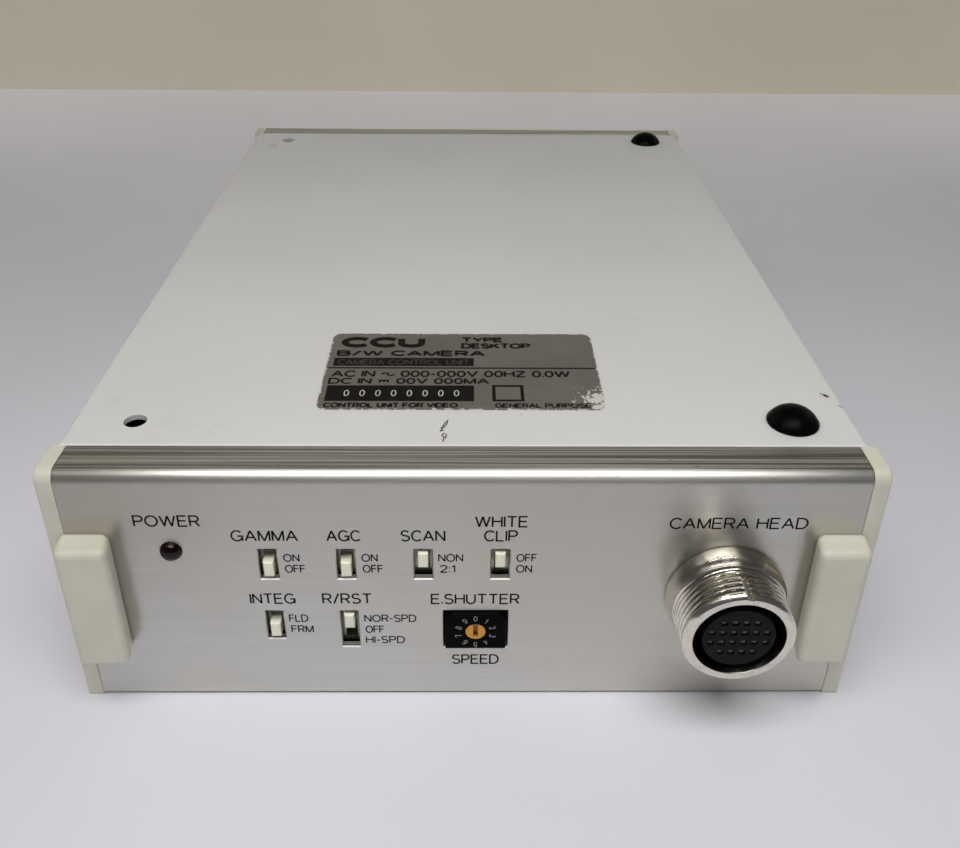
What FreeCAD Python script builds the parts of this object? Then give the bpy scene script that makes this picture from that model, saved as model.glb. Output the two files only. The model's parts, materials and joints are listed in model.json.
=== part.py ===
"""Desktop control unit for a remote camera head: a flat instrument case, its controls and electronics.

Units are millimetres. X runs to the right seen from the front, Y from the front panel to the rear
panel, Z up. The origin is on the resting surface, under the middle of the case.
"""
import FreeCAD, Part
import math
import os

from FreeCAD import Vector

# ---- case
CASE_WIDTH = 145.2          # over the moulded end caps
CASE_DEPTH = 200.0          # front panel face to rear panel face
CASE_HEIGHT = 52.6          # to the top of the cover, which lies almost flush with the panels
CAP_THICKNESS = 3.1         # width of the cream strip at each end of a panel
CAP_HEIGHT = 52.6
COVER_PROUD = 0.1           # cover above the panels' folded edge
PANEL_SIDE_GAP = 0.1        # between a panel's end and its cap
PANEL_WALL = 1.2
PANEL_BEND = 2.4            # outer radius where a panel folds back at the top
PANEL_BOTTOM = 0.2          # the panels clear the table by this
BAND = 8.0                  # depth of the folded edge that shows above the face
LEDGE = 5.0                 # part of the fold that goes on under the cover
SHEET = 1.0                 # cover and tray sheet
SHEET_GAP = 0.1
COVER_WIDTH = 142.5
TRAY_FLANGE_HEIGHT = 12.0

FRONT = -CASE_DEPTH / 2
REAR = CASE_DEPTH / 2
PANEL_TOP = CASE_HEIGHT - COVER_PROUD
COVER_UNDER = CASE_HEIGHT - SHEET
PANEL_HALF = CASE_WIDTH / 2 - CAP_THICKNESS - PANEL_SIDE_GAP
CAP_INNER = CASE_WIDTH / 2 - CAP_THICKNESS
SHELL_FRONT = FRONT + BAND + SHEET_GAP
COVER_HALF = COVER_WIDTH / 2
TRAY_HALF = COVER_HALF - SHEET - SHEET_GAP

# ---- guards on the end caps
GUARD_BOTTOM, GUARD_TOP = 12.7, 39.5
GUARD_REACH = 5.0
GUARD_BASE = (61.9, 70.6)   # inner and outer x where it leaves the panel
GUARD_FACE = (60.8, 70.1)   # inner and outer x of its front face
GUARD_ROUND = 1.4
CAP_NOSE = 2.2              # rounding of a cap's front top edge, along the panel's bend
CAP_ROUND = 0.5

# ---- feet and label on the cover
FOOT_X, FOOT_Y = 59.8, 84.3
FOOT_R, FOOT_RISE, FOOT_SKIRT = 4.7, 3.2, 0.4
FOOT_HOLE_R = 2.05
LABEL_SIZE = (54.0, 29.3)
LABEL_CENTRE = (-0.8, -65.8)
LABEL_THICKNESS = 0.15
LABEL_ROUND = 2.0

# ---- screws: shank radius, head radius, head height
SCREW_R = 1.25
TAPPED_R = SCREW_R + 0.02
CLEAR_R = 1.6
PAN_HEAD = (2.7, 1.1)
SMALL_HEAD = (2.3, 1.4)
SIDE_SCREW_Y, SIDE_SCREW_Z = 70.0, 7.0
TRAY_SCREW_X = 50.0
TRAY_SCREW_INSET = 2.7      # from the band's edge, so that the head clears it
TRAY_SCREW_Y = REAR - BAND - TRAY_SCREW_INSET
CAP_SCREW_X = 66.0
CAP_SCREW_Z = (GUARD_BOTTOM + GUARD_TOP) / 2

# ---- slide switches: name, x, z of the window's middle, steps, rest position (-1 low, 1 high)
SWITCHES = [
    ("gamma", -34.85, 32.7, 1, -1),
    ("agc", -21.1, 32.7, 1, -1),
    ("scan", -7.4, 32.7, 1, 1),
    ("white_clip", 6.3, 32.7, 1, 1),
    ("integration", -34.9, 18.1, 1, -1),
    ("restart", -21.2, 17.05, 2, 1),
]
STEP = 2.1                  # travel of a knob from one detent to the next
KNOB = (1.85, 3.3)          # width and height of the lever
KNOB_PROUD = 0.3            # lever in front of the panel face
KNOB_GAP = 0.15
WINDOW_WIDTH = 3.25
WINDOW_ROOM = 1.4           # window height beyond the lever and its travel
WINDOW_BEVEL = 0.2
SWITCH_WIDTH = 4.6
SWITCH_FRONT = FRONT + PANEL_WALL + 0.9
SWITCH_WALL = 0.5
SWITCH_FLOOR = 1.0
SWITCH_END = 0.85           # can beyond each end of its slot
CARRIAGE_LIP = 0.3          # carriage beyond the lever, above and below

# ---- rotary shutter-speed switch
ROTARY = (1.98, 17.0)
ROTARY_SIZE = (11.2, 8.7)
ROTARY_PROUD = 0.7
ROTARY_GAP = 0.25
ROTARY_CHAMFER = 1.2
ROTOR_R, ROTOR_SHAFT_R, ROTOR_FIT = 1.85, 1.1, 0.05
ROTOR_SLOT = (0.85, 2.9, 0.8)

# ---- power lamp
LAMP = (-51.55, 35.8)
LAMP_R = 1.9

# ---- switch board behind the front panel
BOARD = 1.6
SWITCH_BOARD_FRONT = SWITCH_FRONT + 4.0
SWITCH_BOARD_BACK = SWITCH_BOARD_FRONT + BOARD
SWITCH_BOARD_BOX = (-60.0, 14.0, 6.0, 46.0)
SWITCH_BOARD_POSTS = [(-56.0, 42.0), (-56.0, 10.0), (-12.0, 42.0), (10.5, 42.0)]
POST_R = 2.5
PIN_R = 0.3
PIN_HOLE_R = 0.4

# ---- camera-head receptacle
HEAD = (47.0, 26.2)
HEAD_REACH = 11.7
COLLAR_R, COLLAR_LENGTH = 10.7, 2.6
NECK_R, NECK_START, NECK_END = 10.1, 3.6, 4.4
RELIEF_R, RELIEF_END = 9.4, 4.7
THREAD_R, THREAD_END = 9.8, 11.15
TIP_R = 9.3
MOUTH_R = 7.94
INSERT_R, INSERT_RECESS = 6.3, 0.5
INSERT_STEP = 3.7           # where the insert fills the bore, in front of the panel
BODY_R, BODY_BACK = 8.5, 9.0
HEAD_HOLE_R = BODY_R + 0.1
SOCKET_PITCH = (1.9, 2.24)
SOCKET_ROWS = (4, 6, 6, 4)
SOCKET_R, CONTACT_R = 0.45, 0.4
SOCKET_WELL = (1.1, 0.9)    # side and depth of the square well in front of each contact
CONTACT_RECESS = 0.35

# ---- rear connectors
BNC_X = (14.0, 38.0)
BNC_Z = 26.2
BNC_R, BNC_BORE_R, BNC_CORE_R = 4.8, 4.1, 2.3
BNC_WAIST_R, BNC_GUIDE = 4.6, 4.3   # the body is slimmer from this far behind its mouth
BNC_LUG = (1.0, 0.75, 5.5)  # radius, height, distance behind the mouth
BNC_BODY_R, BNC_FLANGE = 4.6, (7.0, 2.0)
DC = (-18.0, 16.1)
DC_BARREL_R, DC_BORE_R, DC_PIN_R = 4.0, 2.85, 1.05
INLET = (-45.0, 26.0)
INLET_FLANGE = (13.0, 7.0, 2.2)
INLET_BODY = (10.2, 5.2, 16.0)
INLET_CAVITY = (7.7, 3.9, 11.2)
INLET_PIN = (1.15, 4.3)

LEAD_DROP = 9.0             # how far behind its tab a wire turns down

# ---- boards on the tray
BOARD_BOTTOM = 8.0
BOARD_TOP = BOARD_BOTTOM + BOARD
MAIN_BOARD = (-8.0, 64.0, -88.0, 80.0)
POWER_BOARD = (-64.0, -12.0, 0.0, 90.0)
MAIN_POSTS = [(-4.0, -74.0), (60.0, -83.0), (-4.0, 76.0), (60.0, 76.0)]
POWER_POSTS = [(-60.0, 4.0), (-16.0, 4.0), (-60.0, 83.0), (-28.0, 83.0)]


def box(x0, x1, y0, y1, z0, z1):
    return Part.makeBox(x1 - x0, y1 - y0, z1 - z0, Vector(x0, y0, z0))


def rod(radius, start, end):
    """A cylinder from one point to another."""
    way = Vector(*end) - Vector(*start)
    return Part.makeCylinder(radius, way.Length, Vector(*start), way)


def cone(radius0, radius1, start, end):
    way = Vector(*end) - Vector(*start)
    return Part.makeCone(radius0, radius1, way.Length, Vector(*start), way)


def join(shapes):
    first, rest = shapes[0], shapes[1:]
    return first.fuse(rest).removeSplitter() if rest else first


def cut(shape, tools):
    return shape.cut(tools)


def face(points):
    """A flat face through the points, taken in order."""
    return Part.Face(Part.makePolygon([Vector(*p) for p in points] + [Vector(*points[0])]))


def rounded_prism(half_x, half_z, radius, x, z, y0, y1):
    """A bar along Y with a rounded rectangular section."""
    bar = box(x - half_x, x + half_x, y0, y1, z - half_z, z + half_z)
    corners = [e for e in bar.Edges if abs(e.tangentAt(e.FirstParameter).y) > 0.9]
    return bar.makeFillet(radius, corners)


def turned(profile, x, z):
    """A body of revolution about a Y axis; profile is a list of (radius, y)."""
    outline = face([(x + r, y, z) for r, y in profile])
    return outline.revolve(Vector(x, 0, z), Vector(0, 1, 0), 360)


def edges_on(shape, axis, value, along=None):
    """Edges whose whole length has the given coordinate, perhaps only those along one direction."""
    found = []
    for edge in shape.Edges:
        if all(abs(getattr(v.Point, axis) - value) < 1e-6 for v in edge.Vertexes):
            way = edge.tangentAt(edge.FirstParameter)
            if along is None or abs(getattr(way, along)) > 0.9:
                found.append(edge)
    return found


def turn_about_z(shape):
    copy = shape.copy()
    copy.rotate(Vector(0, 0, 0), Vector(0, 0, 1), 180)
    return copy


def screw(seat, way, length, head=PAN_HEAD):
    """A cross-recessed screw whose head stands on the seat point and whose shank runs along way."""
    seat, way = Vector(*seat), Vector(*way)
    radius, height = head
    top = Part.makeCylinder(radius, height, seat, way * -1)
    rim = [e for e in top.Edges if (e.CenterOfMass - (seat - way * height)).Length < 1e-6]
    top = top.makeFillet(height * 0.45, rim)
    side = Vector(0, 0, 1) if abs(way.z) < 0.5 else Vector(1, 0, 0)
    recess = []
    for arm in (side, side.cross(way)):
        across = arm.cross(way)
        corner = seat - way * height - arm * (radius * 0.5) - across * (radius * 0.11)
        bar = face([tuple(corner), tuple(corner + arm * radius),
                    tuple(corner + arm * radius + across * (radius * 0.22)),
                    tuple(corner + across * (radius * 0.22))])
        recess.append(bar.extrude(way * (height * 0.6)))
    shank = Part.makeCylinder(SCREW_R, length, seat, way)
    return cut(join([top, shank]), recess)


def window_height(steps):
    return KNOB[1] + steps * STEP + WINDOW_ROOM


def slot_height(steps):
    return KNOB[1] + steps * STEP + 2 * KNOB_GAP


# ---- case shells

def panel_channel():
    """The folded strip that both panels are made from, in the front panel's place."""
    half = PANEL_HALF
    back = FRONT + BAND + LEDGE
    ledge_top = COVER_UNDER
    strips = [
        box(-half, half, FRONT, FRONT + PANEL_WALL, PANEL_BOTTOM, PANEL_TOP),
        box(-half, half, FRONT, FRONT + BAND, ledge_top - PANEL_WALL, PANEL_TOP),
        box(-half, half, FRONT, back, ledge_top - PANEL_WALL, ledge_top),
        box(-half, half, FRONT, FRONT + BAND, PANEL_BOTTOM, SHEET + PANEL_WALL),
        box(-half, half, FRONT, back, SHEET, SHEET + PANEL_WALL),
    ]
    channel = join(strips)
    top = [e for e in edges_on(channel, "y", FRONT, "x") if e.CenterOfMass.z > PANEL_TOP - 1]
    channel = channel.makeFillet(PANEL_BEND, top)
    low = [e for e in edges_on(channel, "y", FRONT, "x") if e.CenterOfMass.z < 1]
    channel = channel.makeFillet(0.6, low)
    tapped = [rod(TAPPED_R, (sx * TRAY_SCREW_X, -TRAY_SCREW_Y, 0),
                  (sx * TRAY_SCREW_X, -TRAY_SCREW_Y, SHEET + PANEL_WALL + 1)) for sx in (-1, 1)]
    passed = [rod(CLEAR_R, (sx * CAP_SCREW_X, FRONT - 1, CAP_SCREW_Z),
                  (sx * CAP_SCREW_X, FRONT + PANEL_WALL + 1, CAP_SCREW_Z)) for sx in (-1, 1)]
    return cut(channel, tapped + passed)


def window(x, z, width, height):
    """A panel cut-out whose front edge is bevelled all round."""
    hole = box(x - width / 2, x + width / 2, FRONT - 1, FRONT + PANEL_WALL + 1,
               z - height / 2, z + height / 2)
    outlines = []
    for grow, y in ((WINDOW_BEVEL, FRONT - 0.001), (0, FRONT + WINDOW_BEVEL)):
        half_x, half_z = width / 2 + grow, height / 2 + grow
        corners = [(x - half_x, y, z - half_z), (x + half_x, y, z - half_z),
                   (x + half_x, y, z + half_z), (x - half_x, y, z + half_z)]
        outlines.append(face(corners).OuterWire)
    return hole.fuse(Part.makeLoft(outlines, True))


def front_panel():
    holes = [window(x, z, WINDOW_WIDTH, window_height(steps)) for _, x, z, steps, _ in SWITCHES]
    holes.append(window(ROTARY[0], ROTARY[1], ROTARY_SIZE[0] + 2 * ROTARY_GAP,
                        ROTARY_SIZE[1] + 2 * ROTARY_GAP))
    holes.append(rod(LAMP_R + 0.1, (LAMP[0], FRONT - 1, LAMP[1]),
                     (LAMP[0], FRONT + PANEL_WALL + 1, LAMP[1])))
    holes.append(rod(HEAD_HOLE_R, (HEAD[0], FRONT - 1, HEAD[1]),
                     (HEAD[0], FRONT + PANEL_WALL + 1, HEAD[1])))
    return cut(panel_channel(), holes)


def rear_panel():
    inner, outer = REAR - PANEL_WALL - 1, REAR + 1
    holes = [rod(BNC_BODY_R + 0.1, (x, inner, BNC_Z), (x, outer, BNC_Z)) for x in BNC_X]
    holes.append(rod(DC_BARREL_R + 0.15, (DC[0], inner, DC[1]), (DC[0], outer, DC[1])))
    holes.append(rounded_prism(INLET_BODY[0] + 0.2, INLET_BODY[1] + 0.2, 2.0,
                               INLET[0], INLET[1], inner, outer))
    return cut(turn_about_z(panel_channel()), holes)


def end_cap():
    """The cap at the front right: a strip over the panel's end with a guard block in front."""
    outer = CASE_WIDTH / 2
    strip = box(CAP_INNER, outer, FRONT, FRONT + BAND, 0, CAP_HEIGHT)
    strip = strip.makeFillet(CAP_NOSE, [e for e in edges_on(strip, "y", FRONT, "x")
                                        if e.CenterOfMass.z > 1])
    outside = [e for e in edges_on(strip, "x", outer)
               if e.CenterOfMass.z > 1 and e.CenterOfMass.y < FRONT + BAND - 0.1]
    strip = strip.makeFillet(CAP_ROUND, outside)

    section = face([(GUARD_BASE[0], FRONT, GUARD_BOTTOM), (GUARD_BASE[1], FRONT, GUARD_BOTTOM),
                    (GUARD_FACE[1], FRONT - GUARD_REACH, GUARD_BOTTOM),
                    (GUARD_FACE[0], FRONT - GUARD_REACH, GUARD_BOTTOM)])
    guard = section.extrude(Vector(0, 0, GUARD_TOP - GUARD_BOTTOM))
    base = edges_on(guard, "y", FRONT)
    guard = guard.makeFillet(GUARD_ROUND, [e for e in guard.Edges
                                           if not any(e.isSame(b) for b in base)])
    filler = box(CAP_INNER, GUARD_BASE[1], FRONT, FRONT + 1.5,
                 GUARD_BOTTOM + GUARD_ROUND, GUARD_TOP - GUARD_ROUND)
    hole = rod(TAPPED_R, (CAP_SCREW_X, FRONT, CAP_SCREW_Z),
               (CAP_SCREW_X, FRONT - GUARD_REACH + 1.6, CAP_SCREW_Z))
    return cut(join([strip, filler, guard]), [hole])


def mirrored(shape):
    return shape.mirror(Vector(0, 0, 0), Vector(1, 0, 0))


def top_cover():
    back = -SHELL_FRONT
    outside = box(-COVER_HALF, COVER_HALF, SHELL_FRONT, back, 0.4, CASE_HEIGHT)
    bends = [e for e in edges_on(outside, "z", CASE_HEIGHT, "y")]
    outside = outside.makeFillet(SHEET * 0.9, bends)
    inside = box(-COVER_HALF + SHEET, COVER_HALF - SHEET, SHELL_FRONT - 1, back + 1,
                 -1, COVER_UNDER)
    holes = [rod(FOOT_HOLE_R, (sx * FOOT_X, sy * FOOT_Y, COVER_UNDER - 1),
                 (sx * FOOT_X, sy * FOOT_Y, CASE_HEIGHT + 1)) for sx in (-1, 1) for sy in (-1, 1)]
    holes += [rod(CLEAR_R, (sx * (COVER_HALF - SHEET - 1), sy * SIDE_SCREW_Y, SIDE_SCREW_Z),
                  (sx * (COVER_HALF + 1), sy * SIDE_SCREW_Y, SIDE_SCREW_Z))
              for sx in (-1, 1) for sy in (-1, 1)]
    return cut(outside, [inside] + holes)


def countersink(x, y):
    return cone(2.6, 1.35, (x, y, 0), (x, y, SHEET))


def bottom_tray():
    back = -SHELL_FRONT
    flange_end = REAR - BAND - LEDGE - 0.5
    pieces = [box(-TRAY_HALF, TRAY_HALF, SHELL_FRONT, back, 0, SHEET)]
    for sx in (-1, 1):
        edges = sorted((sx * TRAY_HALF, sx * (TRAY_HALF - SHEET)))
        pieces.append(box(edges[0], edges[1], -flange_end, flange_end, 0, TRAY_FLANGE_HEIGHT))
    holes = [rod(TAPPED_R, (sx * (TRAY_HALF - SHEET - 1), sy * SIDE_SCREW_Y, SIDE_SCREW_Z),
                 (sx * (TRAY_HALF + 1), sy * SIDE_SCREW_Y, SIDE_SCREW_Z))
             for sx in (-1, 1) for sy in (-1, 1)]
    holes += [countersink(sx * TRAY_SCREW_X, sy * TRAY_SCREW_Y) for sx in (-1, 1) for sy in (-1, 1)]
    return cut(join(pieces), holes)


def tray_screws():
    screws = []
    for sx in (-1, 1):
        for sy in (-1, 1):
            x, y = sx * TRAY_SCREW_X, sy * TRAY_SCREW_Y
            head = cone(2.5, SCREW_R, (x, y, 0.05), (x, y, SHEET))
            shank = rod(SCREW_R, (x, y, SHEET), (x, y, SHEET + 3.5))
            slot = box(x - 1.3, x + 1.3, y - 0.25, y + 0.25, 0, 0.5)
            screws.append(cut(join([head, shank]), [slot]))
    return Part.makeCompound(screws)


def side_screws():
    return Part.makeCompound([
        screw((sx * COVER_HALF, sy * SIDE_SCREW_Y, SIDE_SCREW_Z), (-sx, 0, 0), 5.0)
        for sx in (-1, 1) for sy in (-1, 1)])


def cap_screws():
    seat = REAR - PANEL_WALL
    return Part.makeCompound([
        screw((sx * CAP_SCREW_X, sy * seat, CAP_SCREW_Z), (0, sy, 0), PANEL_WALL + 3.0, SMALL_HEAD)
        for sx in (-1, 1) for sy in (-1, 1)])


def foot(y):
    """A push-in rubber foot: dome, stem through the sheet and a retaining bulb below."""
    x = FOOT_X
    swell = FOOT_RISE - FOOT_SKIRT
    radius = (FOOT_R ** 2 + swell ** 2) / (2 * swell)
    ball = Part.makeSphere(radius, Vector(x, y, CASE_HEIGHT + FOOT_RISE - radius))
    dome = rod(FOOT_R, (x, y, CASE_HEIGHT), (x, y, CASE_HEIGHT + FOOT_RISE)).common(ball)
    stem = rod(FOOT_HOLE_R - 0.05, (x, y, COVER_UNDER), (x, y, CASE_HEIGHT))
    bulb = cone(1.2, 2.5, (x, y, COVER_UNDER - 2.2), (x, y, COVER_UNDER - 0.02))
    neck = rod(1.1, (x, y, COVER_UNDER - 0.5), (x, y, COVER_UNDER + 0.5))
    return join([dome, stem, bulb, neck])


def rating_label():
    half_x, half_y = LABEL_SIZE[0] / 2, LABEL_SIZE[1] / 2
    x, y = LABEL_CENTRE
    plate = box(x - half_x, x + half_x, y - half_y, y + half_y,
                CASE_HEIGHT, CASE_HEIGHT + LABEL_THICKNESS)
    corners = [e for e in plate.Edges if abs(e.tangentAt(e.FirstParameter).z) > 0.9]
    return plate.makeFillet(LABEL_ROUND, corners)


# ---- front controls

def pins_to_board(spots, reach=0.7):
    return [rod(PIN_R, (x, SWITCH_BOARD_FRONT - 0.3, z), (x, SWITCH_BOARD_BACK + reach, z))
            for x, z in spots]


def switch_pins(x, z):
    return [(x, z + dz) for dz in (-1.5, 0, 1.5)]


def slide_switch(x, z, steps):
    """The switch's frame: a small can with a slot in front and three pins into the board."""
    slot = slot_height(steps)
    half = slot / 2 + SWITCH_END
    can = box(x - SWITCH_WIDTH / 2, x + SWITCH_WIDTH / 2, SWITCH_FRONT, SWITCH_BOARD_FRONT,
              z - half, z + half)
    lever_way = KNOB[0] / 2 + KNOB_GAP
    floor = SWITCH_BOARD_FRONT - SWITCH_FLOOR
    opening = box(x - lever_way, x + lever_way, SWITCH_FRONT - 1, floor, z - slot / 2, z + slot / 2)
    room = SWITCH_WIDTH / 2 - 0.4
    cavity = box(x - room, x + room, SWITCH_FRONT + SWITCH_WALL, floor,
                 z - half + SWITCH_END / 2, z + half - SWITCH_END / 2)
    return cut(join([can] + pins_to_board(switch_pins(x, z))), [opening, cavity])


def knob(x, z, steps, rest):
    """The lever and the carriage that holds it behind the slot, at its rest position."""
    middle = z + rest * steps * STEP / 2
    wide, high = KNOB[0] / 2, KNOB[1] / 2
    floor = SWITCH_BOARD_FRONT - SWITCH_FLOOR
    tip = FRONT - KNOB_PROUD
    lever = box(x - wide, x + wide, tip, floor - KNOB_GAP, middle - high, middle + high)
    lever = lever.makeFillet(0.35, edges_on(lever, "y", tip))
    half = SWITCH_WIDTH / 2 - 0.4 - KNOB_GAP
    carriage = box(x - half, x + half, SWITCH_FRONT + SWITCH_WALL + KNOB_GAP, floor - KNOB_GAP,
                   middle - high - CARRIAGE_LIP, middle + high + CARRIAGE_LIP)
    return join([lever, carriage])


def rotary_outline(y, grow=0.0):
    x, z = ROTARY
    half_x, half_z = ROTARY_SIZE[0] / 2 + grow, ROTARY_SIZE[1] / 2 + grow
    bevel = ROTARY_CHAMFER
    return face([(x - half_x, y, z - half_z), (x + half_x, y, z - half_z),
                 (x + half_x, y, z + half_z - bevel), (x + half_x - bevel, y, z + half_z),
                 (x - half_x + bevel, y, z + half_z), (x - half_x, y, z + half_z - bevel)])


ROTARY_FACE = FRONT - ROTARY_PROUD


def rotary_body():
    x, z = ROTARY
    block = rotary_outline(ROTARY_FACE).extrude(Vector(0, SWITCH_BOARD_FRONT - ROTARY_FACE, 0))
    block = block.makeFillet(0.3, edges_on(block, "y", ROTARY_FACE))
    well = rod(ROTOR_R + ROTOR_FIT, (x, ROTARY_FACE - 1, z), (x, ROTARY_FACE + 2.2, z))
    deep = rod(ROTOR_SHAFT_R + ROTOR_FIT, (x, ROTARY_FACE, z), (x, ROTARY_FACE + 5.0, z))
    return cut(join([block] + pins_to_board(rotary_pins())), [well, deep])


def rotary_pins():
    x, z = ROTARY
    return [(x + dx, z + dz) for dx in (-3.8, 3.8) for dz in (-2.5, 0, 2.5)]


def rotary_rotor():
    """The turning disc with its screwdriver slot, which points straight up at rest."""
    x, z = ROTARY
    face_y = ROTARY_FACE + 0.05
    disc = rod(ROTOR_R, (x, face_y, z), (x, face_y + 2.0, z))
    shaft = rod(ROTOR_SHAFT_R, (x, face_y + 2.0, z), (x, face_y + 4.8, z))
    width, length, depth = ROTOR_SLOT
    slot = box(x - width / 2, x + width / 2, face_y - 1, face_y + depth,
               z + ROTOR_R - length - 0.15, z + ROTOR_R - 0.15)
    return cut(join([disc, shaft]), [slot])


def power_lamp():
    x, z = LAMP
    tip = FRONT - 1.5
    body = rod(LAMP_R, (x, tip, z), (x, FRONT + PANEL_WALL + 1, z))
    body = body.makeFillet(LAMP_R - 0.15, edges_on(body, "y", tip))
    rim = rod(LAMP_R + 0.4, (x, FRONT + PANEL_WALL + 0.02, z), (x, FRONT + PANEL_WALL + 1, z))
    legs = [rod(0.25, (x + dx, FRONT + PANEL_WALL + 0.5, z), (x + dx, SWITCH_BOARD_BACK + 0.7, z))
            for dx in (-0.9, 0.9)]
    return join([body, rim] + legs)


HEADER_PINS = [-5.0 + 2.0 * n for n in range(8)]
HEADER_Z = BOARD_TOP + 1.5
HEADER_Y = -86.0


def switch_board():
    x0, x1, z0, z1 = SWITCH_BOARD_BOX
    board = box(x0, x1, SWITCH_BOARD_FRONT, SWITCH_BOARD_BACK, z0, z1)
    spots = [(LAMP[0] + dx, LAMP[1]) for dx in (-0.9, 0.9)] + rotary_pins()
    for _, x, z, _, _ in SWITCHES:
        spots += switch_pins(x, z)
    spots += [(x, HEADER_Z) for x in HEADER_PINS]
    near, far = SWITCH_BOARD_FRONT - 1, SWITCH_BOARD_BACK + 1
    holes = [rod(PIN_HOLE_R, (x, near, z), (x, far, z)) for x, z in spots]
    holes += [rod(CLEAR_R, (x, near, z), (x, far, z)) for x, z in SWITCH_BOARD_POSTS]
    return cut(board, holes)


def panel_posts():
    near, far = FRONT + PANEL_WALL, SWITCH_BOARD_FRONT
    return Part.makeCompound([
        cut(rod(POST_R, (x, near, z), (x, far, z)), [rod(TAPPED_R, (x, near + 0.6, z), (x, far + 1, z))])
        for x, z in SWITCH_BOARD_POSTS])


# ---- camera-head receptacle

def socket_spots():
    spots = []
    for row, count in enumerate(SOCKET_ROWS):
        z = HEAD[1] + (1.5 - row) * SOCKET_PITCH[1]
        spots += [(HEAD[0] + (n - (count - 1) / 2) * SOCKET_PITCH[0], z) for n in range(count)]
    return spots


def head_shell():
    back = FRONT + BODY_BACK
    tip = FRONT - HEAD_REACH
    profile = [(MOUTH_R, tip), (TIP_R, tip), (THREAD_R, FRONT - THREAD_END),
               (THREAD_R, FRONT - RELIEF_END), (RELIEF_R, FRONT - RELIEF_END),
               (RELIEF_R, FRONT - NECK_END), (NECK_R, FRONT - NECK_END), (NECK_R, FRONT - NECK_START),
               (COLLAR_R, FRONT - COLLAR_LENGTH), (COLLAR_R, FRONT), (BODY_R, FRONT),
               (BODY_R, back), (BODY_R - 1.5, back), (BODY_R - 1.5, back - 2.5),
               (MOUTH_R, back - 2.5)]
    return turned(profile, *HEAD)


def head_insert():
    back = FRONT + BODY_BACK
    seat = back - 2.5
    profile = [(0, FRONT - HEAD_REACH + INSERT_RECESS), (INSERT_R, FRONT - HEAD_REACH + INSERT_RECESS),
               (INSERT_R, FRONT - INSERT_STEP), (MOUTH_R - 0.04, FRONT - INSERT_STEP),
               (MOUTH_R - 0.04, seat), (BODY_R - 1.55, seat), (BODY_R - 1.55, back + 0.8), (0, back + 0.8)]
    holes = [rod(SOCKET_R, (x, FRONT - HEAD_REACH, z), (x, back + 2, z)) for x, z in socket_spots()]
    mouth = FRONT - HEAD_REACH + INSERT_RECESS
    half, depth = SOCKET_WELL[0] / 2, SOCKET_WELL[1]
    holes += [box(x - half, x + half, mouth - 1, mouth + depth, z - half, z + half)
              for x, z in socket_spots()]
    return cut(turned(profile, *HEAD), holes)


HEAD_BOARD_FRONT = FRONT + 11.8


def head_contacts():
    near = FRONT - HEAD_REACH + INSERT_RECESS + CONTACT_RECESS
    return Part.makeCompound([rod(CONTACT_R, (x, near, z), (x, HEAD_BOARD_FRONT + BOARD + 0.4, z))
                              for x, z in socket_spots()])


def hex_nut(x, z, y0, y1, across_flats, bore):
    radius = across_flats / math.sqrt(3)
    corners = [(x + radius * math.cos(math.radians(60 * n)), y0,
                z + radius * math.sin(math.radians(60 * n))) for n in range(6)]
    return cut(face(corners).extrude(Vector(0, y1 - y0, 0)), [rod(bore, (x, y0 - 1, z), (x, y1 + 1, z))])


def head_nut():
    near = FRONT + PANEL_WALL
    return hex_nut(HEAD[0], HEAD[1], near, near + 3.0, 22.0, BODY_R + 0.02)


def head_board():
    x, z = HEAD
    board = box(x - 11, x + 11, HEAD_BOARD_FRONT, HEAD_BOARD_FRONT + BOARD, z - 13, z + 9)
    return cut(board, [rod(CONTACT_R + 0.06, (sx, HEAD_BOARD_FRONT - 1, sz),
                           (sx, HEAD_BOARD_FRONT + BOARD + 1, sz)) for sx, sz in socket_spots()])


RIBBON_Z = 16.5
RIBBON_X = (39.0, 55.0)
RIBBON_TURN = 4.0
RIBBON = 0.9
RIBBON_DROP_Y = -72.0


def ribbon_plugs():
    x0, x1 = RIBBON_X[0] - 1, RIBBON_X[1] + 1
    back = HEAD_BOARD_FRONT + BOARD
    upper = box(x0, x1, back, back + 5.5, RIBBON_Z - 2.5, RIBBON_Z + 2.5)
    lower = box(x0, x1, RIBBON_DROP_Y - 3, RIBBON_DROP_Y + 3, BOARD_TOP, BOARD_TOP + 2.0)
    return Part.makeCompound([upper, lower])


def head_ribbon():
    """A flat cable that leaves the upper plug, bends down once and enters the lower one."""
    x0, x1 = RIBBON_X
    start = HEAD_BOARD_FRONT + BOARD + 5.5
    bend_y = RIBBON_DROP_Y - RIBBON_TURN
    bend_z = RIBBON_Z - RIBBON_TURN
    flat = box(x0, x1, start, bend_y, RIBBON_Z - RIBBON / 2, RIBBON_Z + RIBBON / 2)
    drop = box(x0, x1, RIBBON_DROP_Y - RIBBON / 2, RIBBON_DROP_Y + RIBBON / 2, BOARD_TOP + 2.0, bend_z)
    ring = cut(rod(RIBBON_TURN + RIBBON / 2, (x0, bend_y, bend_z), (x1, bend_y, bend_z)),
               [rod(RIBBON_TURN - RIBBON / 2, (x0 - 1, bend_y, bend_z), (x1 + 1, bend_y, bend_z))])
    quarter = ring.common(box(x0, x1, bend_y, bend_y + 2 * RIBBON_TURN, bend_z, bend_z + 2 * RIBBON_TURN))
    return join([flat, quarter, drop])


# ---- rear connectors

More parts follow.
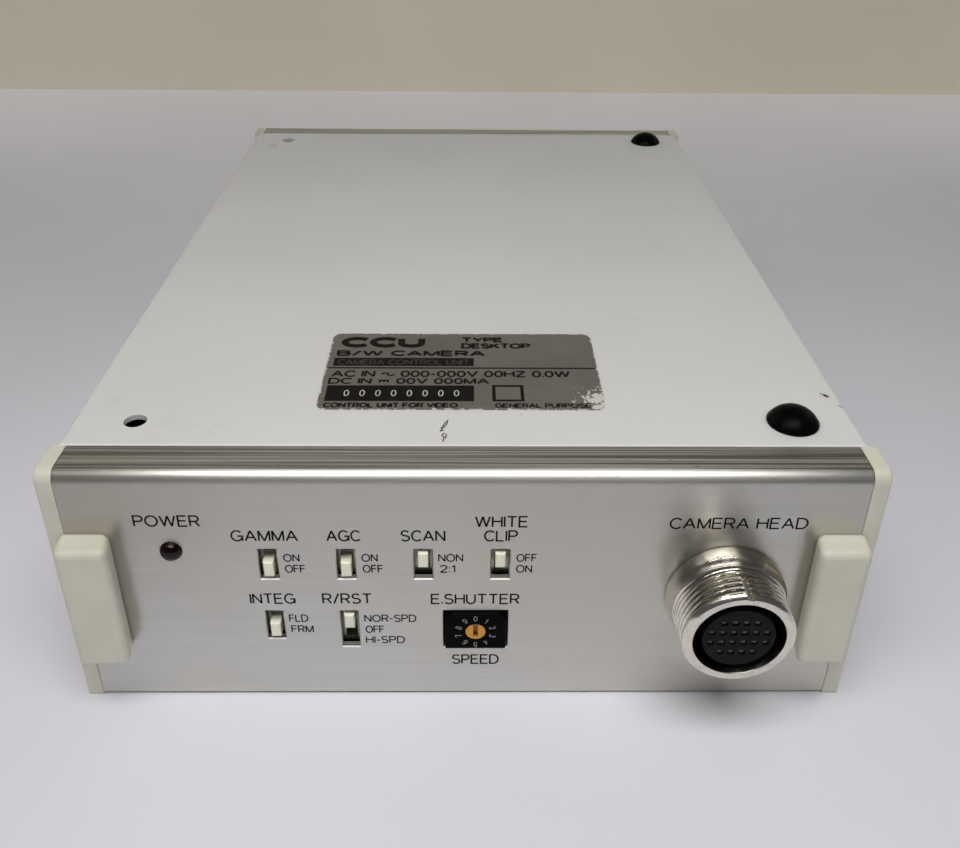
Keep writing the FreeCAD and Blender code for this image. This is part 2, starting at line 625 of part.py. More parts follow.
def bnc_shell(x):
    mouth = REAR + HEAD_REACH
    radius, height, behind = BNC_LUG
    profile = [(BNC_BORE_R, mouth), (BNC_R - 0.2, mouth), (BNC_R, mouth - 0.2),
               (BNC_R, mouth - BNC_GUIDE), (BNC_WAIST_R, mouth - BNC_GUIDE),
               (BNC_WAIST_R, REAR + BNC_FLANGE[1]), (BNC_FLANGE[0], REAR + BNC_FLANGE[1]),
               (BNC_FLANGE[0], REAR), (BNC_BODY_R, REAR), (BNC_BODY_R, REAR - 12.0),
               (BNC_CORE_R + 0.6, REAR - 12.0), (BNC_CORE_R + 0.6, REAR + 1.0), (BNC_BORE_R, REAR + 1.0)]
    lugs = [rod(radius, (x, mouth - behind, BNC_Z + s * (BNC_R - 0.3)),
                (x, mouth - behind, BNC_Z + s * (BNC_R + height))) for s in (-1, 1)]
    return join([turned(profile, x, BNC_Z)] + lugs)


def bnc_insulators():
    cores = []
    for x in BNC_X:
        profile = [(0.75, REAR + HEAD_REACH - 1.0), (BNC_CORE_R, REAR + HEAD_REACH - 1.0),
                   (BNC_CORE_R, REAR + 1.0), (BNC_CORE_R + 0.56, REAR + 1.0),
                   (BNC_CORE_R + 0.56, REAR - 13.0), (0.75, REAR - 13.0)]
        cores.append(turned(profile, x, BNC_Z))
    return Part.makeCompound(cores)


def bnc_contacts():
    return Part.makeCompound([
        cut(rod(0.7, (x, REAR + HEAD_REACH - 1.5, BNC_Z), (x, REAR - 15.0, BNC_Z)),
            [rod(0.45, (x, REAR + HEAD_REACH, BNC_Z), (x, REAR + HEAD_REACH - 6.0, BNC_Z))])
        for x in BNC_X])


def bnc_nuts():
    back = REAR - PANEL_WALL
    return Part.makeCompound([hex_nut(x, BNC_Z, back - 2.0, back, 12.5, BNC_BODY_R + 0.02) for x in BNC_X])


def lead(points, radius):
    """A wire of straight runs joined by tangent arcs, each arc as large as its runs allow."""
    spots = [Vector(*p) for p in points]
    edges, start = [], spots[0]
    for before, corner, after in zip(spots, spots[1:], spots[2:]):
        back, ahead = (before - corner).normalize(), (after - corner).normalize()
        half_turn = (math.pi - back.getAngle(ahead)) / 2
        reach = 0.45 * min((before - corner).Length, (after - corner).Length)
        bend = reach / math.tan(half_turn)
        middle = (back + ahead).normalize() * (bend / math.cos(half_turn) - bend)
        edges.append(Part.LineSegment(start, corner + back * reach).toShape())
        edges.append(Part.Arc(corner + back * reach, corner + middle, corner + ahead * reach).toShape())
        start = corner + ahead * reach
    edges.append(Part.LineSegment(start, spots[-1]).toShape())
    path = Part.Wire(edges)
    ring = Part.Wire(Part.makeCircle(radius, spots[0], spots[1] - spots[0]))
    return path.makePipeShell([ring], True, False)


def internal_leads():
    """Signal wires from the two round jacks and mains wires from the inlet, down to the boards."""
    leads = []
    x, z = INLET
    tabs = [(x + s * INLET_PIN[1], REAR - INLET_BODY[2] - 4.0, z, 1.0) for s in (-1, 1)]
    tails = [(jack_x, REAR - 15.0, BNC_Z, 0.8) for jack_x in BNC_X]
    for lead_x, start, lead_z, radius in tabs + tails:
        drop = start - LEAD_DROP
        leads.append(lead([(lead_x, start, lead_z), (lead_x, drop, lead_z), (lead_x, drop, BOARD_TOP)], radius))
    return Part.makeCompound(leads)


def ac_inlet():
    x, z = INLET
    flange_x, flange_z, thick = INLET_FLANGE
    body_x, body_z, deep = INLET_BODY
    cavity_x, cavity_z, cavity_deep = INLET_CAVITY
    flange = rounded_prism(flange_x, flange_z, 2.5, x, z, REAR, REAR + thick)
    body = rounded_prism(body_x, body_z, 1.8, x, z, REAR - deep, REAR)
    mouth = REAR + thick
    cavity = rounded_prism(cavity_x, cavity_z, cavity_z - 0.05, x, z, mouth - cavity_deep, mouth + 1)
    pins = [rod(INLET_PIN[0] + 0.02, (x + s * INLET_PIN[1], REAR - deep - 1, z),
                (x + s * INLET_PIN[1], mouth, z)) for s in (-1, 1)]
    return cut(join([flange, body]), [cavity] + pins)


def inlet_pins():
    x, z = INLET
    return Part.makeCompound([
        rod(INLET_PIN[0], (x + s * INLET_PIN[1], REAR - INLET_BODY[2] - 4.0, z),
            (x + s * INLET_PIN[1], REAR - 0.6, z)) for s in (-1, 1)])


def dc_jack():
    x, z = DC
    inner = REAR - PANEL_WALL
    body = box(x - 4.5, x + 4.5, inner - 14.2, inner - 0.05, BOARD_TOP, z + 5.0)
    barrel = rod(DC_BARREL_R, (x, inner - 1, z), (x, REAR + 0.6, z))
    bore = rod(DC_BORE_R, (x, REAR - 9.0, z), (x, REAR + 2, z))
    pin = rod(DC_PIN_R, (x, REAR - 9.5, z), (x, REAR - 0.6, z))
    return join([cut(join([body, barrel]), [bore]), pin])


# ---- boards and what stands on them

def flat_board(outline, posts, extra=()):
    x0, x1, y0, y1 = outline
    board = box(x0, x1, y0, y1, BOARD_BOTTOM, BOARD_TOP)
    holes = [rod(CLEAR_R, (x, y, BOARD_BOTTOM - 1), (x, y, BOARD_TOP + 1)) for x, y in posts]
    holes += [rod(PIN_HOLE_R, (x, y, BOARD_BOTTOM - 1), (x, y, BOARD_TOP + 1)) for x, y in extra]
    return cut(board, holes)


def main_board():
    return flat_board(MAIN_BOARD, MAIN_POSTS, [(x, HEADER_Y) for x in HEADER_PINS])


def power_board():
    return flat_board(POWER_BOARD, POWER_POSTS)


def tray_posts():
    return Part.makeCompound([
        cut(rod(3.0, (x, y, SHEET), (x, y, BOARD_BOTTOM)),
            [rod(TAPPED_R, (x, y, SHEET + 1.5), (x, y, BOARD_BOTTOM + 1))])
        for x, y in MAIN_POSTS + POWER_POSTS])


def board_screws():
    length = BOARD + 3.0
    flat = [screw((x, y, BOARD_TOP), (0, 0, -1), length, SMALL_HEAD) for x, y in MAIN_POSTS + POWER_POSTS]
    upright = [screw((x, SWITCH_BOARD_BACK, z), (0, -1, 0), length, SMALL_HEAD)
               for x, z in SWITCH_BOARD_POSTS]
    return Part.makeCompound(flat + upright)


def header_block():
    block = box(HEADER_PINS[0] - 1.2, HEADER_PINS[-1] + 1.2, HEADER_Y - 1.3, HEADER_Y + 1.3,
                BOARD_TOP, BOARD_TOP + 3.0)
    holes = []
    for x in HEADER_PINS:
        holes.append(box(x - 0.32, x + 0.32, HEADER_Y - 2, HEADER_Y + 0.32, HEADER_Z - 0.32, HEADER_Z + 0.32))
        holes.append(box(x - 0.32, x + 0.32, HEADER_Y - 0.32, HEADER_Y + 0.32, BOARD_TOP - 1, HEADER_Z + 0.32))
    return cut(block, holes)


def header_pins():
    pins, half = [], 0.25
    for x in HEADER_PINS:
        flat = box(x - half, x + half, SWITCH_BOARD_FRONT - 0.5, HEADER_Y + half, HEADER_Z - half, HEADER_Z + half)
        drop = box(x - half, x + half, HEADER_Y - half, HEADER_Y + half, BOARD_BOTTOM - 0.8, HEADER_Z + half)
        pins.append(join([flat, drop]))
    return Part.makeCompound(pins)


TRANSFORMER = (-42.0, 42.0)
CORE = (21.0, 8.0, 35.0)
LEG, WINDOW = 7.0, 7.0


def transformer_core():
    x, y = TRANSFORMER
    half_x, half_y, high = CORE
    stack = box(x - half_x, x + half_x, y - half_y, y + half_y, BOARD_TOP, BOARD_TOP + high)
    gaps = []
    for s in (-1, 1):
        edges = sorted((x + s * LEG, x + s * (LEG + WINDOW)))
        gaps.append(box(edges[0], edges[1], y - half_y - 1, y + half_y + 1,
                        BOARD_TOP + LEG, BOARD_TOP + high - LEG))
    return cut(stack, gaps)


def transformer_coil():
    x, y = TRANSFORMER
    half_x, half_y, high = LEG + WINDOW - 0.3, CORE[1] + 6.5, CORE[2] - LEG - 0.3
    coil = box(x - half_x, x + half_x, y - half_y, y + half_y, BOARD_TOP + LEG + 0.3, BOARD_TOP + high)
    upright = [e for e in coil.Edges if abs(e.tangentAt(e.FirstParameter).z) > 0.9]
    coil = coil.makeFillet(3.0, upright)
    leg = box(x - LEG - 0.1, x + LEG + 0.1, y - CORE[1] - 0.1, y + CORE[1] + 0.1,
              BOARD_TOP, BOARD_TOP + CORE[2])
    return cut(coil, [leg])


CAPACITORS = [(-46.0, 14.0, 6.3, 22.0), (-30.0, 14.0, 5.0, 20.0), (-17.5, 22.0, 4.0, 12.0)]


def filter_capacitors():
    cans = []
    for x, y, radius, high in CAPACITORS:
        can = rod(radius, (x, y, BOARD_TOP), (x, y, BOARD_TOP + high))
        cans.append(can.makeFillet(0.6, edges_on(can, "z", BOARD_TOP + high)))
    return Part.makeCompound(cans)


HEATSINK = (-16.5, 36.0)


def heatsink():
    """A back plate with five fins to the left of the regulator."""
    x, y = HEATSINK
    low, high = BOARD_TOP, BOARD_TOP + 25.0
    plate = box(x - 1.5, x, y, y + 22.0, low, high)
    fins = [box(x - 4.0, x - 1.5, y + n * 5.125, y + n * 5.125 + 1.5, low, high) for n in range(5)]
    return join([plate] + fins)


def regulator():
    x, y = HEATSINK
    middle, low = y + 11.0, BOARD_TOP + 6.0
    tab = box(x + 0.02, x + 1.3, middle - 5.0, middle + 5.0, low + 9.0, low + 15.5)
    body = box(x + 0.02, x + 3.8, middle - 5.0, middle + 5.0, low, low + 9.0)
    legs = [box(x + 1.6, x + 2.2, middle + d - 0.35, middle + d + 0.35, BOARD_TOP, low) for d in (-2.54, 0, 2.54)]
    return join([body, tab] + legs)


FUSE = (-58.0, 12.0, 14.5)


def mains_fuse():
    x, y, z = FUSE
    glass = rod(2.4, (x, y + 4.5, z), (x, y + 15.5, z))
    caps = [rod(2.6, (x, y, z), (x, y + 4.5, z)), rod(2.6, (x, y + 15.5, z), (x, y + 20.0, z))]
    return join([glass] + caps)


def fuse_clips():
    clips = []
    x, _, z = FUSE
    for y in (FUSE[1] + 0.3, FUSE[1] + 15.8):
        block = box(x - 3.3, x + 3.3, y, y + 3.9, BOARD_TOP, z + 1.5)
        hollow = rod(2.62, (x, y - 1, z), (x, y + 5, z))
        mouth = box(x - 1.9, x + 1.9, y - 1, y + 5, z, z + 3)
        clips.append(cut(block, [hollow, mouth]))
    return Part.makeCompound(clips)


CHIPS = [(10.0, -50.0, 20.0, 8.0), (40.0, -50.0, 14.0, 14.0), (10.0, -22.0, 18.0, 8.0),
         (42.0, -20.0, 22.0, 22.0), (12.0, 8.0, 14.0, 8.0), (42.0, 16.0, 18.0, 8.0), (30.0, 44.0, 20.0, 8.0)]


def processing_chips():
    """Flat packages with rows of folded legs along both long sides."""
    chips = []
    for x, y, long, wide in CHIPS:
        body = box(x - long / 2, x + long / 2, y - wide / 2, y + wide / 2, BOARD_TOP + 0.2, BOARD_TOP + 2.4)
        legs = []
        count = int(long / 2.0) - 1
        for n in range(count):
            leg_x = x + (n - (count - 1) / 2) * 2.0
            for s in (-1, 1):
                near, far = sorted((y + s * (wide / 2 - 0.1), y + s * (wide / 2 + 1.2)))
                legs.append(box(leg_x - 0.3, leg_x + 0.3, near, far, BOARD_TOP, BOARD_TOP + 0.5))
        chips.append(join([body] + legs))
    return Part.makeCompound(chips)


def build():
    parts = {
        "top_cover": top_cover(), "bottom_tray": bottom_tray(),
        "front_panel": front_panel(), "rear_panel": rear_panel(),
        "tray_screws": tray_screws(), "side_screws": side_screws(), "cap_screws": cap_screws(),
        "foot_front_right": foot(-FOOT_Y), "foot_rear_right": foot(FOOT_Y),
        "rating_label": rating_label(), "power_lamp": power_lamp(),
        "rotary_switch_body": rotary_body(), "rotary_switch_rotor": rotary_rotor(),
        "switch_board": switch_board(),
        "head_receptacle_shell": head_shell(), "head_receptacle_insert": head_insert(),
        "head_receptacle_contacts": head_contacts(), "head_receptacle_nut": head_nut(), "head_board": head_board(),
        "head_ribbon": head_ribbon(), "ribbon_plugs": ribbon_plugs(),
        "video_out_jack": bnc_shell(BNC_X[0]), "sync_in_jack": bnc_shell(BNC_X[1]),
        "bnc_insulators": bnc_insulators(), "bnc_contacts": bnc_contacts(), "bnc_nuts": bnc_nuts(),
        "internal_leads": internal_leads(), "mains_inlet": ac_inlet(),
        "mains_inlet_pins": inlet_pins(), "dc_jack": dc_jack(),
        "main_board": main_board(), "power_board": power_board(),
        "board_posts": Part.makeCompound([tray_posts(), panel_posts()]), "board_screws": board_screws(),
        "board_header": header_block(), "board_header_pins": header_pins(),
        "transformer_core": transformer_core(), "transformer_coil": transformer_coil(),
        "filter_capacitors": filter_capacitors(), "regulator_heatsink": heatsink(),
        "voltage_regulator": regulator(), "mains_fuse": mains_fuse(), "fuse_clips": fuse_clips(),
        "processing_chips": processing_chips(),
    }
    right = end_cap()
    left = mirrored(right)
    parts["front_right_cap"], parts["front_left_cap"] = right, left
    parts["rear_left_cap"], parts["rear_right_cap"] = turn_about_z(right), turn_about_z(left)
    for name, x, z, steps, rest in SWITCHES:
        parts[name + "_switch"] = slide_switch(x, z, steps)
        parts[name + "_knob"] = knob(x, z, steps, rest)
    return parts


def main():
    os.makedirs("parts", exist_ok=True)
    parts = build()
    for name, shape in sorted(parts.items()):
        if not shape.isValid() or not shape.Solids:
            raise ValueError("bad shape: " + name)
        shape.exportStep(os.path.join("parts", name + ".step"))
        print("%-26s solids %2d  volume %9.1f" % (name, len(shape.Solids), shape.Volume))
    print(len(parts), "nodes")


main()
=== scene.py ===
"""Looks for the desktop camera control unit: materials, printed legends, thread and lamp, all in metres."""

import json
import math

import bmesh
import bpy
from mathutils import Matrix, Vector


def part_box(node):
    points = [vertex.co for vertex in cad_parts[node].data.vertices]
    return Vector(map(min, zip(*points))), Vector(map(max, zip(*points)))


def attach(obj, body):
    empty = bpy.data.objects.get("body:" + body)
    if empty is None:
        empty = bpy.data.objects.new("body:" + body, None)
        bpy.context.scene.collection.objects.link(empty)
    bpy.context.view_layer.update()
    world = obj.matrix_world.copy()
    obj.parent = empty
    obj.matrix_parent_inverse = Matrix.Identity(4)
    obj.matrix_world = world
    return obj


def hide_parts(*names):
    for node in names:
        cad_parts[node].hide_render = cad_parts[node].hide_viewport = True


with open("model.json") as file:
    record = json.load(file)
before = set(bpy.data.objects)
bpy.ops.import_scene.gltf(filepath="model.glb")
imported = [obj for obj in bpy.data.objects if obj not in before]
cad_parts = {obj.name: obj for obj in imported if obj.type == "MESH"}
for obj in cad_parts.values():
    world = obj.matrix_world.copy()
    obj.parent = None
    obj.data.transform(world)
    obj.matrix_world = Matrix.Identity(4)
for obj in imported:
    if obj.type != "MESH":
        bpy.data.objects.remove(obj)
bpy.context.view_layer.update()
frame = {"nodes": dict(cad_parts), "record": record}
NODES = frame["nodes"]

MM = 0.001
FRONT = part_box("front_panel")[0].y
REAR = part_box("rear_panel")[1].y
COVER_LOW, COVER_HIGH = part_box("top_cover")
COVER_FRONT, COVER_TOP = COVER_LOW.y, COVER_HIGH.z
LABEL_LOW, LABEL_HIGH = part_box("rating_label")
INK = 0.015 * MM            # thickness of printed ink
SMOOTH_ANGLE = math.radians(35)
QUARTER_TURN, HALF_TURN = math.radians(90), math.radians(180)


# ---------------------------------------------------------------- node helpers

def new_material(name, colour, roughness, metallic=0.0, **sockets):
    """A Principled material. Extra keywords are sockets, with underscores for spaces."""
    mat = bpy.data.materials.new(name)
    mat.use_nodes = True
    shader = mat.node_tree.nodes["Principled BSDF"]
    shader.inputs["Base Color"].default_value = (*colour, 1)
    shader.inputs["Roughness"].default_value = roughness
    shader.inputs["Metallic"].default_value = metallic
    for key, value in sockets.items():
        shader.inputs[key.replace("_", " ")].default_value = value
    return mat


def add(mat, kind, **values):
    node = mat.node_tree.nodes.new("ShaderNode" + kind)
    for key, value in values.items():
        if key in node.bl_rna.properties:
            setattr(node, key, value)
        else:
            node.inputs[key.replace("_", " ")].default_value = value
    return node


def wire(mat, source, target):
    mat.node_tree.links.new(source, target)


def principled(mat):
    return mat.node_tree.nodes["Principled BSDF"]


def coordinates(mat, stretch=(1, 1, 1)):
    """Object coordinates in metres, scaled, so that a small factor draws a pattern out along that axis."""
    place = add(mat, "TexCoord")
    mapping = add(mat, "Mapping")
    mapping.inputs["Scale"].default_value = stretch
    wire(mat, place.outputs["Object"], mapping.inputs["Vector"])
    return mapping.outputs["Vector"]


def noise(mat, size, stretch=(1, 1, 1), detail=4.0, distortion=0.0):
    """Grey noise whose features are about size metres across."""
    node = add(mat, "TexNoise", Scale=1.0 / size, Detail=detail, Distortion=distortion)
    wire(mat, coordinates(mat, stretch), node.inputs["Vector"])
    return node.outputs["Fac"]


def spread(mat, value, low, high, to_low=0.0, to_high=1.0):
    """The part of value between low and high, stretched over the new range."""
    node = add(mat, "MapRange")
    for key, number in (("From Min", low), ("From Max", high), ("To Min", to_low), ("To Max", to_high)):
        node.inputs[key].default_value = number
    wire(mat, value, node.inputs["Value"])
    return node.outputs["Result"]


def math_node(mat, operation, first, second):
    node = add(mat, "Math", operation=operation)
    for socket, value in zip(node.inputs, (first, second)):
        if isinstance(value, (int, float)):
            socket.default_value = value
        else:
            wire(mat, value, socket)
    return node.outputs["Value"]


def times(mat, first, second):
    return math_node(mat, "MULTIPLY", first, second)


def shade(colour, factor):
    """The colour made darker or lighter by a factor."""
    return tuple(min(1, part * factor) for part in colour)


def blend_colour(mat, base, over, factor):
    """Paints the colour over the base by a factor from 0 to 1, and makes the result the base colour."""
    node = add(mat, "Mix", data_type="RGBA")
    sockets = [s for s in node.inputs if s.type == "RGBA"]
    if isinstance(base, (tuple, list)):
        sockets[0].default_value = (*base, 1)
    else:
        wire(mat, base, sockets[0])
    sockets[1].default_value = (*over, 1)
    wire(mat, factor, node.inputs["Factor"])
    result = [s for s in node.outputs if s.type == "RGBA"][0]
    wire(mat, result, principled(mat).inputs["Base Color"])
    return result


def roughness_between(mat, value, low, high):
    wire(mat, spread(mat, value, 0.3, 0.7, low, high), principled(mat).inputs["Roughness"])


def bump(mat, *layers):
    """Stacks bump layers, each (height value, depth in metres)."""
    normal = None
    for height, depth in layers:
        node = add(mat, "Bump", Distance=depth)
        node.inputs["Strength"].default_value = 1.0
        wire(mat, height, node.inputs["Height"])
        if normal is not None:
            wire(mat, normal, node.inputs["Normal"])
        normal = node.outputs["Normal"]
    wire(mat, normal, principled(mat).inputs["Normal"])


def crevice_dirt(mat, reach):
    """1 in tight corners and 0 in the open, from ambient occlusion: a mask for painted shade with grime."""
    node = add(mat, "AmbientOcclusion", samples=8)
    node.inputs["Distance"].default_value = reach
    return spread(mat, node.outputs["AO"], 0.35, 0.95, 1.0, 0.0)


def near(mat, centre, reach):
    """1 at a point of the object, falling to 0 at the reach from it."""
    place = add(mat, "TexCoord")
    gap = add(mat, "VectorMath", operation="DISTANCE")
    wire(mat, place.outputs["Object"], gap.inputs[0])
    gap.inputs[1].default_value = centre
    return spread(mat, gap.outputs["Value"], 0.0, reach, 1.0, 0.0)


def part_of(mat, vector, axis):
    """One axis of a vector output."""
    split = add(mat, "SeparateXYZ")
    wire(mat, vector, split.inputs["Vector"])
    return split.outputs[axis]


def position(mat, axis):
    """How far along an axis a point of the object is, in metres."""
    return part_of(mat, add(mat, "TexCoord").outputs["Object"], axis)


def edge_gap(mat, low, high):
    """The distance in metres from a point to the nearest side of a flat box, seen from above."""
    gaps = []
    for axis, first, last in (("X", low.x, high.x), ("Y", low.y, high.y)):
        off = math_node(mat, "SUBTRACT", position(mat, axis), (first + last) / 2)
        gaps.append(math_node(mat, "SUBTRACT", (last - first) / 2, math_node(mat, "ABSOLUTE", off, 0)))
    return math_node(mat, "MINIMUM", *gaps)


# ---------------------------------------------------------------- materials
# The two numbers after a pattern in spread() are the levels between which it fades in, and a number
# given to times() is its strength.


def enamel(name, colour, grime_and_shade, smudges=()):
    """Off-white stove enamel: fine orange peel, faint clouds, specks, grime at smudges, painted shade with
    grime in corners, and a painted highlight along the front edge.
    """
    peel, speck, patch, smear, cloud, wave = 0.45 * MM, 1.1 * MM, 1.6 * MM, 9 * MM, 45 * MM, 60 * MM
    speck_brown, edge_highlight_white = (0.16, 0.13, 0.09), (0.93, 0.93, 0.90)
    edge_highlight_start, edge_highlight_end = COVER_FRONT + 0.15 * MM, COVER_FRONT + 0.55 * MM
    mat = new_material(name, colour, 0.50, Specular_IOR_Level=0.22)
    clouds = spread(mat, noise(mat, cloud, detail=3.0), 0.35, 0.75)
    tone = blend_colour(mat, colour, shade(colour, 0.95), clouds)
    specks = spread(mat, noise(mat, speck, detail=2.0), 0.775, 0.80)
    tone = blend_colour(mat, tone, speck_brown, times(mat, specks, 0.5))
    smears = noise(mat, smear, (1.0, 0.5, 1.0), detail=8.0, distortion=1.2)
    tone = blend_colour(mat, tone, grime_and_shade, times(mat, spread(mat, smears, 0.66, 0.82), 0.12))
    patchy = spread(mat, noise(mat, patch, detail=6.0), 0.42, 0.62)
    for centre, reach, amount in smudges:
        mark = times(mat, near(mat, centre, reach), patchy)
        tone = blend_colour(mat, tone, grime_and_shade, times(mat, mark, amount))
    # Painted shade with grime in corners, from the occlusion mask.
    tone = blend_colour(mat, tone, grime_and_shade, times(mat, crevice_dirt(mat, 1.2 * MM), 0.5))
    # A painted highlight: a thin light line along the front edge, where the folded edge would catch the
    # light.
    painted_edge_highlight = spread(mat, position(mat, "Y"), edge_highlight_start, edge_highlight_end, 0.85, 0.0)
    blend_colour(mat, tone, edge_highlight_white, painted_edge_highlight)
    roughness_between(mat, noise(mat, smear), 0.44, 0.56)
    bump(mat, (noise(mat, peel, detail=1.0), 0.010 * MM), (noise(mat, wave), 0.25 * MM))
    return mat


def brushed(name, colour, roughness):
    """Aluminium brushed along X: fine hairlines, faint streaks, a slow tint, nicks, lines on the band,
    painted shade darkening it towards the top, a painted dark reflection at the top-left, painted light on
    the upward-facing band, and painted shade with grime in crevices.
    """
    hairline, streak, groove, nick = 0.16 * MM, 1.2 * MM, 0.42 * MM, 0.9 * MM
    warm = (colour[0] * 0.98, colour[1] * 0.955, colour[2] * 0.91)
    reflection_brown, crevice_shade_and_dirt_brown = (0.42, 0.37, 0.31), (0.20, 0.18, 0.15)
    top_shade_low, top_shade_high = 12 * MM, 52 * MM
    mat = new_material(name, colour, roughness, metallic=1.0, Anisotropic=0.75)
    across = add(mat, "Tangent", direction_type="RADIAL", axis="X")
    wire(mat, across.outputs["Tangent"], principled(mat).inputs["Tangent"])
    hairlines = noise(mat, hairline, (0.010, 1, 1), detail=6.0)
    streaks = noise(mat, streak, (0.012, 1, 1), detail=4.0)
    tone = blend_colour(mat, colour, shade(colour, 0.94), spread(mat, streaks, 0.35, 0.70))
    tone = blend_colour(mat, tone, shade(colour, 1.10), spread(mat, hairlines, 0.52, 0.75))
    tone = blend_colour(mat, tone, warm, spread(mat, noise(mat, 40 * MM, detail=2.0), 0.42, 0.62))
    # Painted shade: the panel is made darker and warmer from 12 mm up to its top.
    painted_top_shade = spread(mat, position(mat, "Z"), top_shade_low, top_shade_high, 0.0, 0.50)
    tone = blend_colour(mat, tone, shade(warm, 0.70), painted_top_shade)
    # A painted reflection: a dark warm patch spreading 30 mm from the panel's top-left corner.
    painted_reflection = times(mat, near(mat, DARK_REFLECTION_CORNER, 30 * MM), 0.45)
    tone = blend_colour(mat, tone, reflection_brown, painted_reflection)
    # Painted light: faces turned up, the band, are made 1.45 times lighter than the front, as if lit from
    # above; the grooves after it are brushing lines.
    normal = add(mat, "NewGeometry").outputs["Normal"]
    on_band = spread(mat, part_of(mat, normal, "Z"), 0.90, 0.97)
    tone = blend_colour(mat, tone, shade(colour, 1.45), on_band)
    grooves = spread(mat, noise(mat, groove, (0.004, 1, 1), detail=2.0), 0.42, 0.58, 0.12, 1.0)
    tone = blend_colour(mat, tone, shade(warm, 0.50), times(mat, on_band, grooves))
    nicks = spread(mat, noise(mat, nick, (0.30, 1, 1), detail=2.0), 0.735, 0.76)
    tone = blend_colour(mat, tone, shade(colour, 0.55), times(mat, nicks, 0.6))
    # Painted shade with grime in the crevices, from the occlusion mask.
    blend_colour(mat, tone, crevice_shade_and_dirt_brown, times(mat, crevice_dirt(mat, 0.9 * MM), 0.45))
    roughness_between(mat, streaks, roughness - 0.03, roughness + 0.05)
    scratches = spread(mat, noise(mat, streak, (1, 1, 0.05), detail=1.0), 0.74, 0.78)
    bump(mat, (hairlines, 0.004 * MM), (scratches, -0.005 * MM))
    return mat


def moulded(name, colour, roughness=0.45, grain=0.35 * MM, depth=0.006 * MM, dirt_and_shade=0.45,
            dirt_and_shade_colour=(0.10, 0.09, 0.07), **sockets):
    """Moulded plastic: a fine grain, slight mottling, dark specks, and painted shade with grime where it
    meets other pieces.
    """
    mottling, sheen_patch, speck, crevice = 7 * MM, 3 * MM, 0.8 * MM, 0.8 * MM
    mat = new_material(name, colour, roughness, **sockets)
    mottle = spread(mat, noise(mat, mottling, detail=5.0), 0.35, 0.70)
    tone = blend_colour(mat, colour, shade(colour, 0.92), mottle)
    specks = spread(mat, noise(mat, speck, detail=2.0), 0.745, 0.785)
    tone = blend_colour(mat, tone, dirt_and_shade_colour, times(mat, specks, dirt_and_shade))
    # Painted shade with grime in corners and where the plastic meets other pieces.
    blend_colour(mat, tone, dirt_and_shade_colour, times(mat, crevice_dirt(mat, crevice), dirt_and_shade))
    roughness_between(mat, noise(mat, sheen_patch), roughness - 0.06, roughness + 0.08)
    bump(mat, (noise(mat, grain, detail=2.0), depth))
    return mat


def plated(name, colour, roughness=0.2, wear=0.5, shade_and_dirt_reach=0.8 * MM):
    """Bright plating with rubbed, duller patches, painted shade with dirt in the grooves and fine scratches.
    """
    patch, scratch, crevice_shade_and_dirt_brown = 2.2 * MM, 0.25 * MM, (0.12, 0.10, 0.07)
    mat = new_material(name, colour, roughness, metallic=1.0)
    patches = noise(mat, patch, detail=7.0, distortion=0.6)
    tone = blend_colour(mat, colour, shade(colour, 0.78), spread(mat, patches, 0.45, 0.75))
    # Painted shade with dirt in the grooves, from the occlusion mask; wear sets its strength.
    blend_colour(mat, tone, crevice_shade_and_dirt_brown, times(mat, crevice_dirt(mat, shade_and_dirt_reach), wear))
    roughness_between(mat, patches, roughness - 0.05, roughness + 0.12)
    scratches = noise(mat, scratch, (1, 0.3, 1), detail=5.0)
    bump(mat, (scratches, 0.004 * MM), (patches, 0.008 * MM))
    return mat


def rubber(name):
    """Black rubber, slightly shiny, with a trace of dust."""
    black, dust_grey = (0.0022, 0.0022, 0.0024), (0.15, 0.145, 0.13)
    mat = new_material(name, black, 0.26, Specular_IOR_Level=0.035)
    dust = spread(mat, noise(mat, 1.2 * MM, detail=8.0), 0.62, 0.85)
    blend_colour(mat, black, dust_grey, times(mat, dust, 0.02))
    roughness_between(mat, noise(mat, 1.8 * MM), 0.22, 0.34)
    bump(mat, (noise(mat, 0.5 * MM), 0.014 * MM))
    return mat


def lamp_lens(name):
    """Dark red plastic over a lamp that is off."""
    dark_red, core_red = (0.004, 0.0004, 0.0008), (0.010, 0.0008, 0.0016)
    mat = new_material(name, dark_red, 0.07, Specular_IOR_Level=0.25)
    core = spread(mat, noise(mat, 1.2 * MM, detail=3.0), 0.35, 0.70)
    blend_colour(mat, dark_red, core_red, core)
    bump(mat, (noise(mat, 0.8 * MM), 0.003 * MM))
    return mat


def ink(name, colour, patchy=0.06):
    """Screen-printed ink, a little thin in places."""
    mat = new_material(name, colour, 0.5, Specular_IOR_Level=0.1)
    thin = spread(mat, noise(mat, 0.5 * MM, detail=4.0), 0.50, 0.80)
    blend_colour(mat, colour, tuple(min(1, part + 0.12) for part in colour), times(mat, thin, patchy))
    bump(mat, (noise(mat, 0.2 * MM), 0.003 * MM))
    return mat


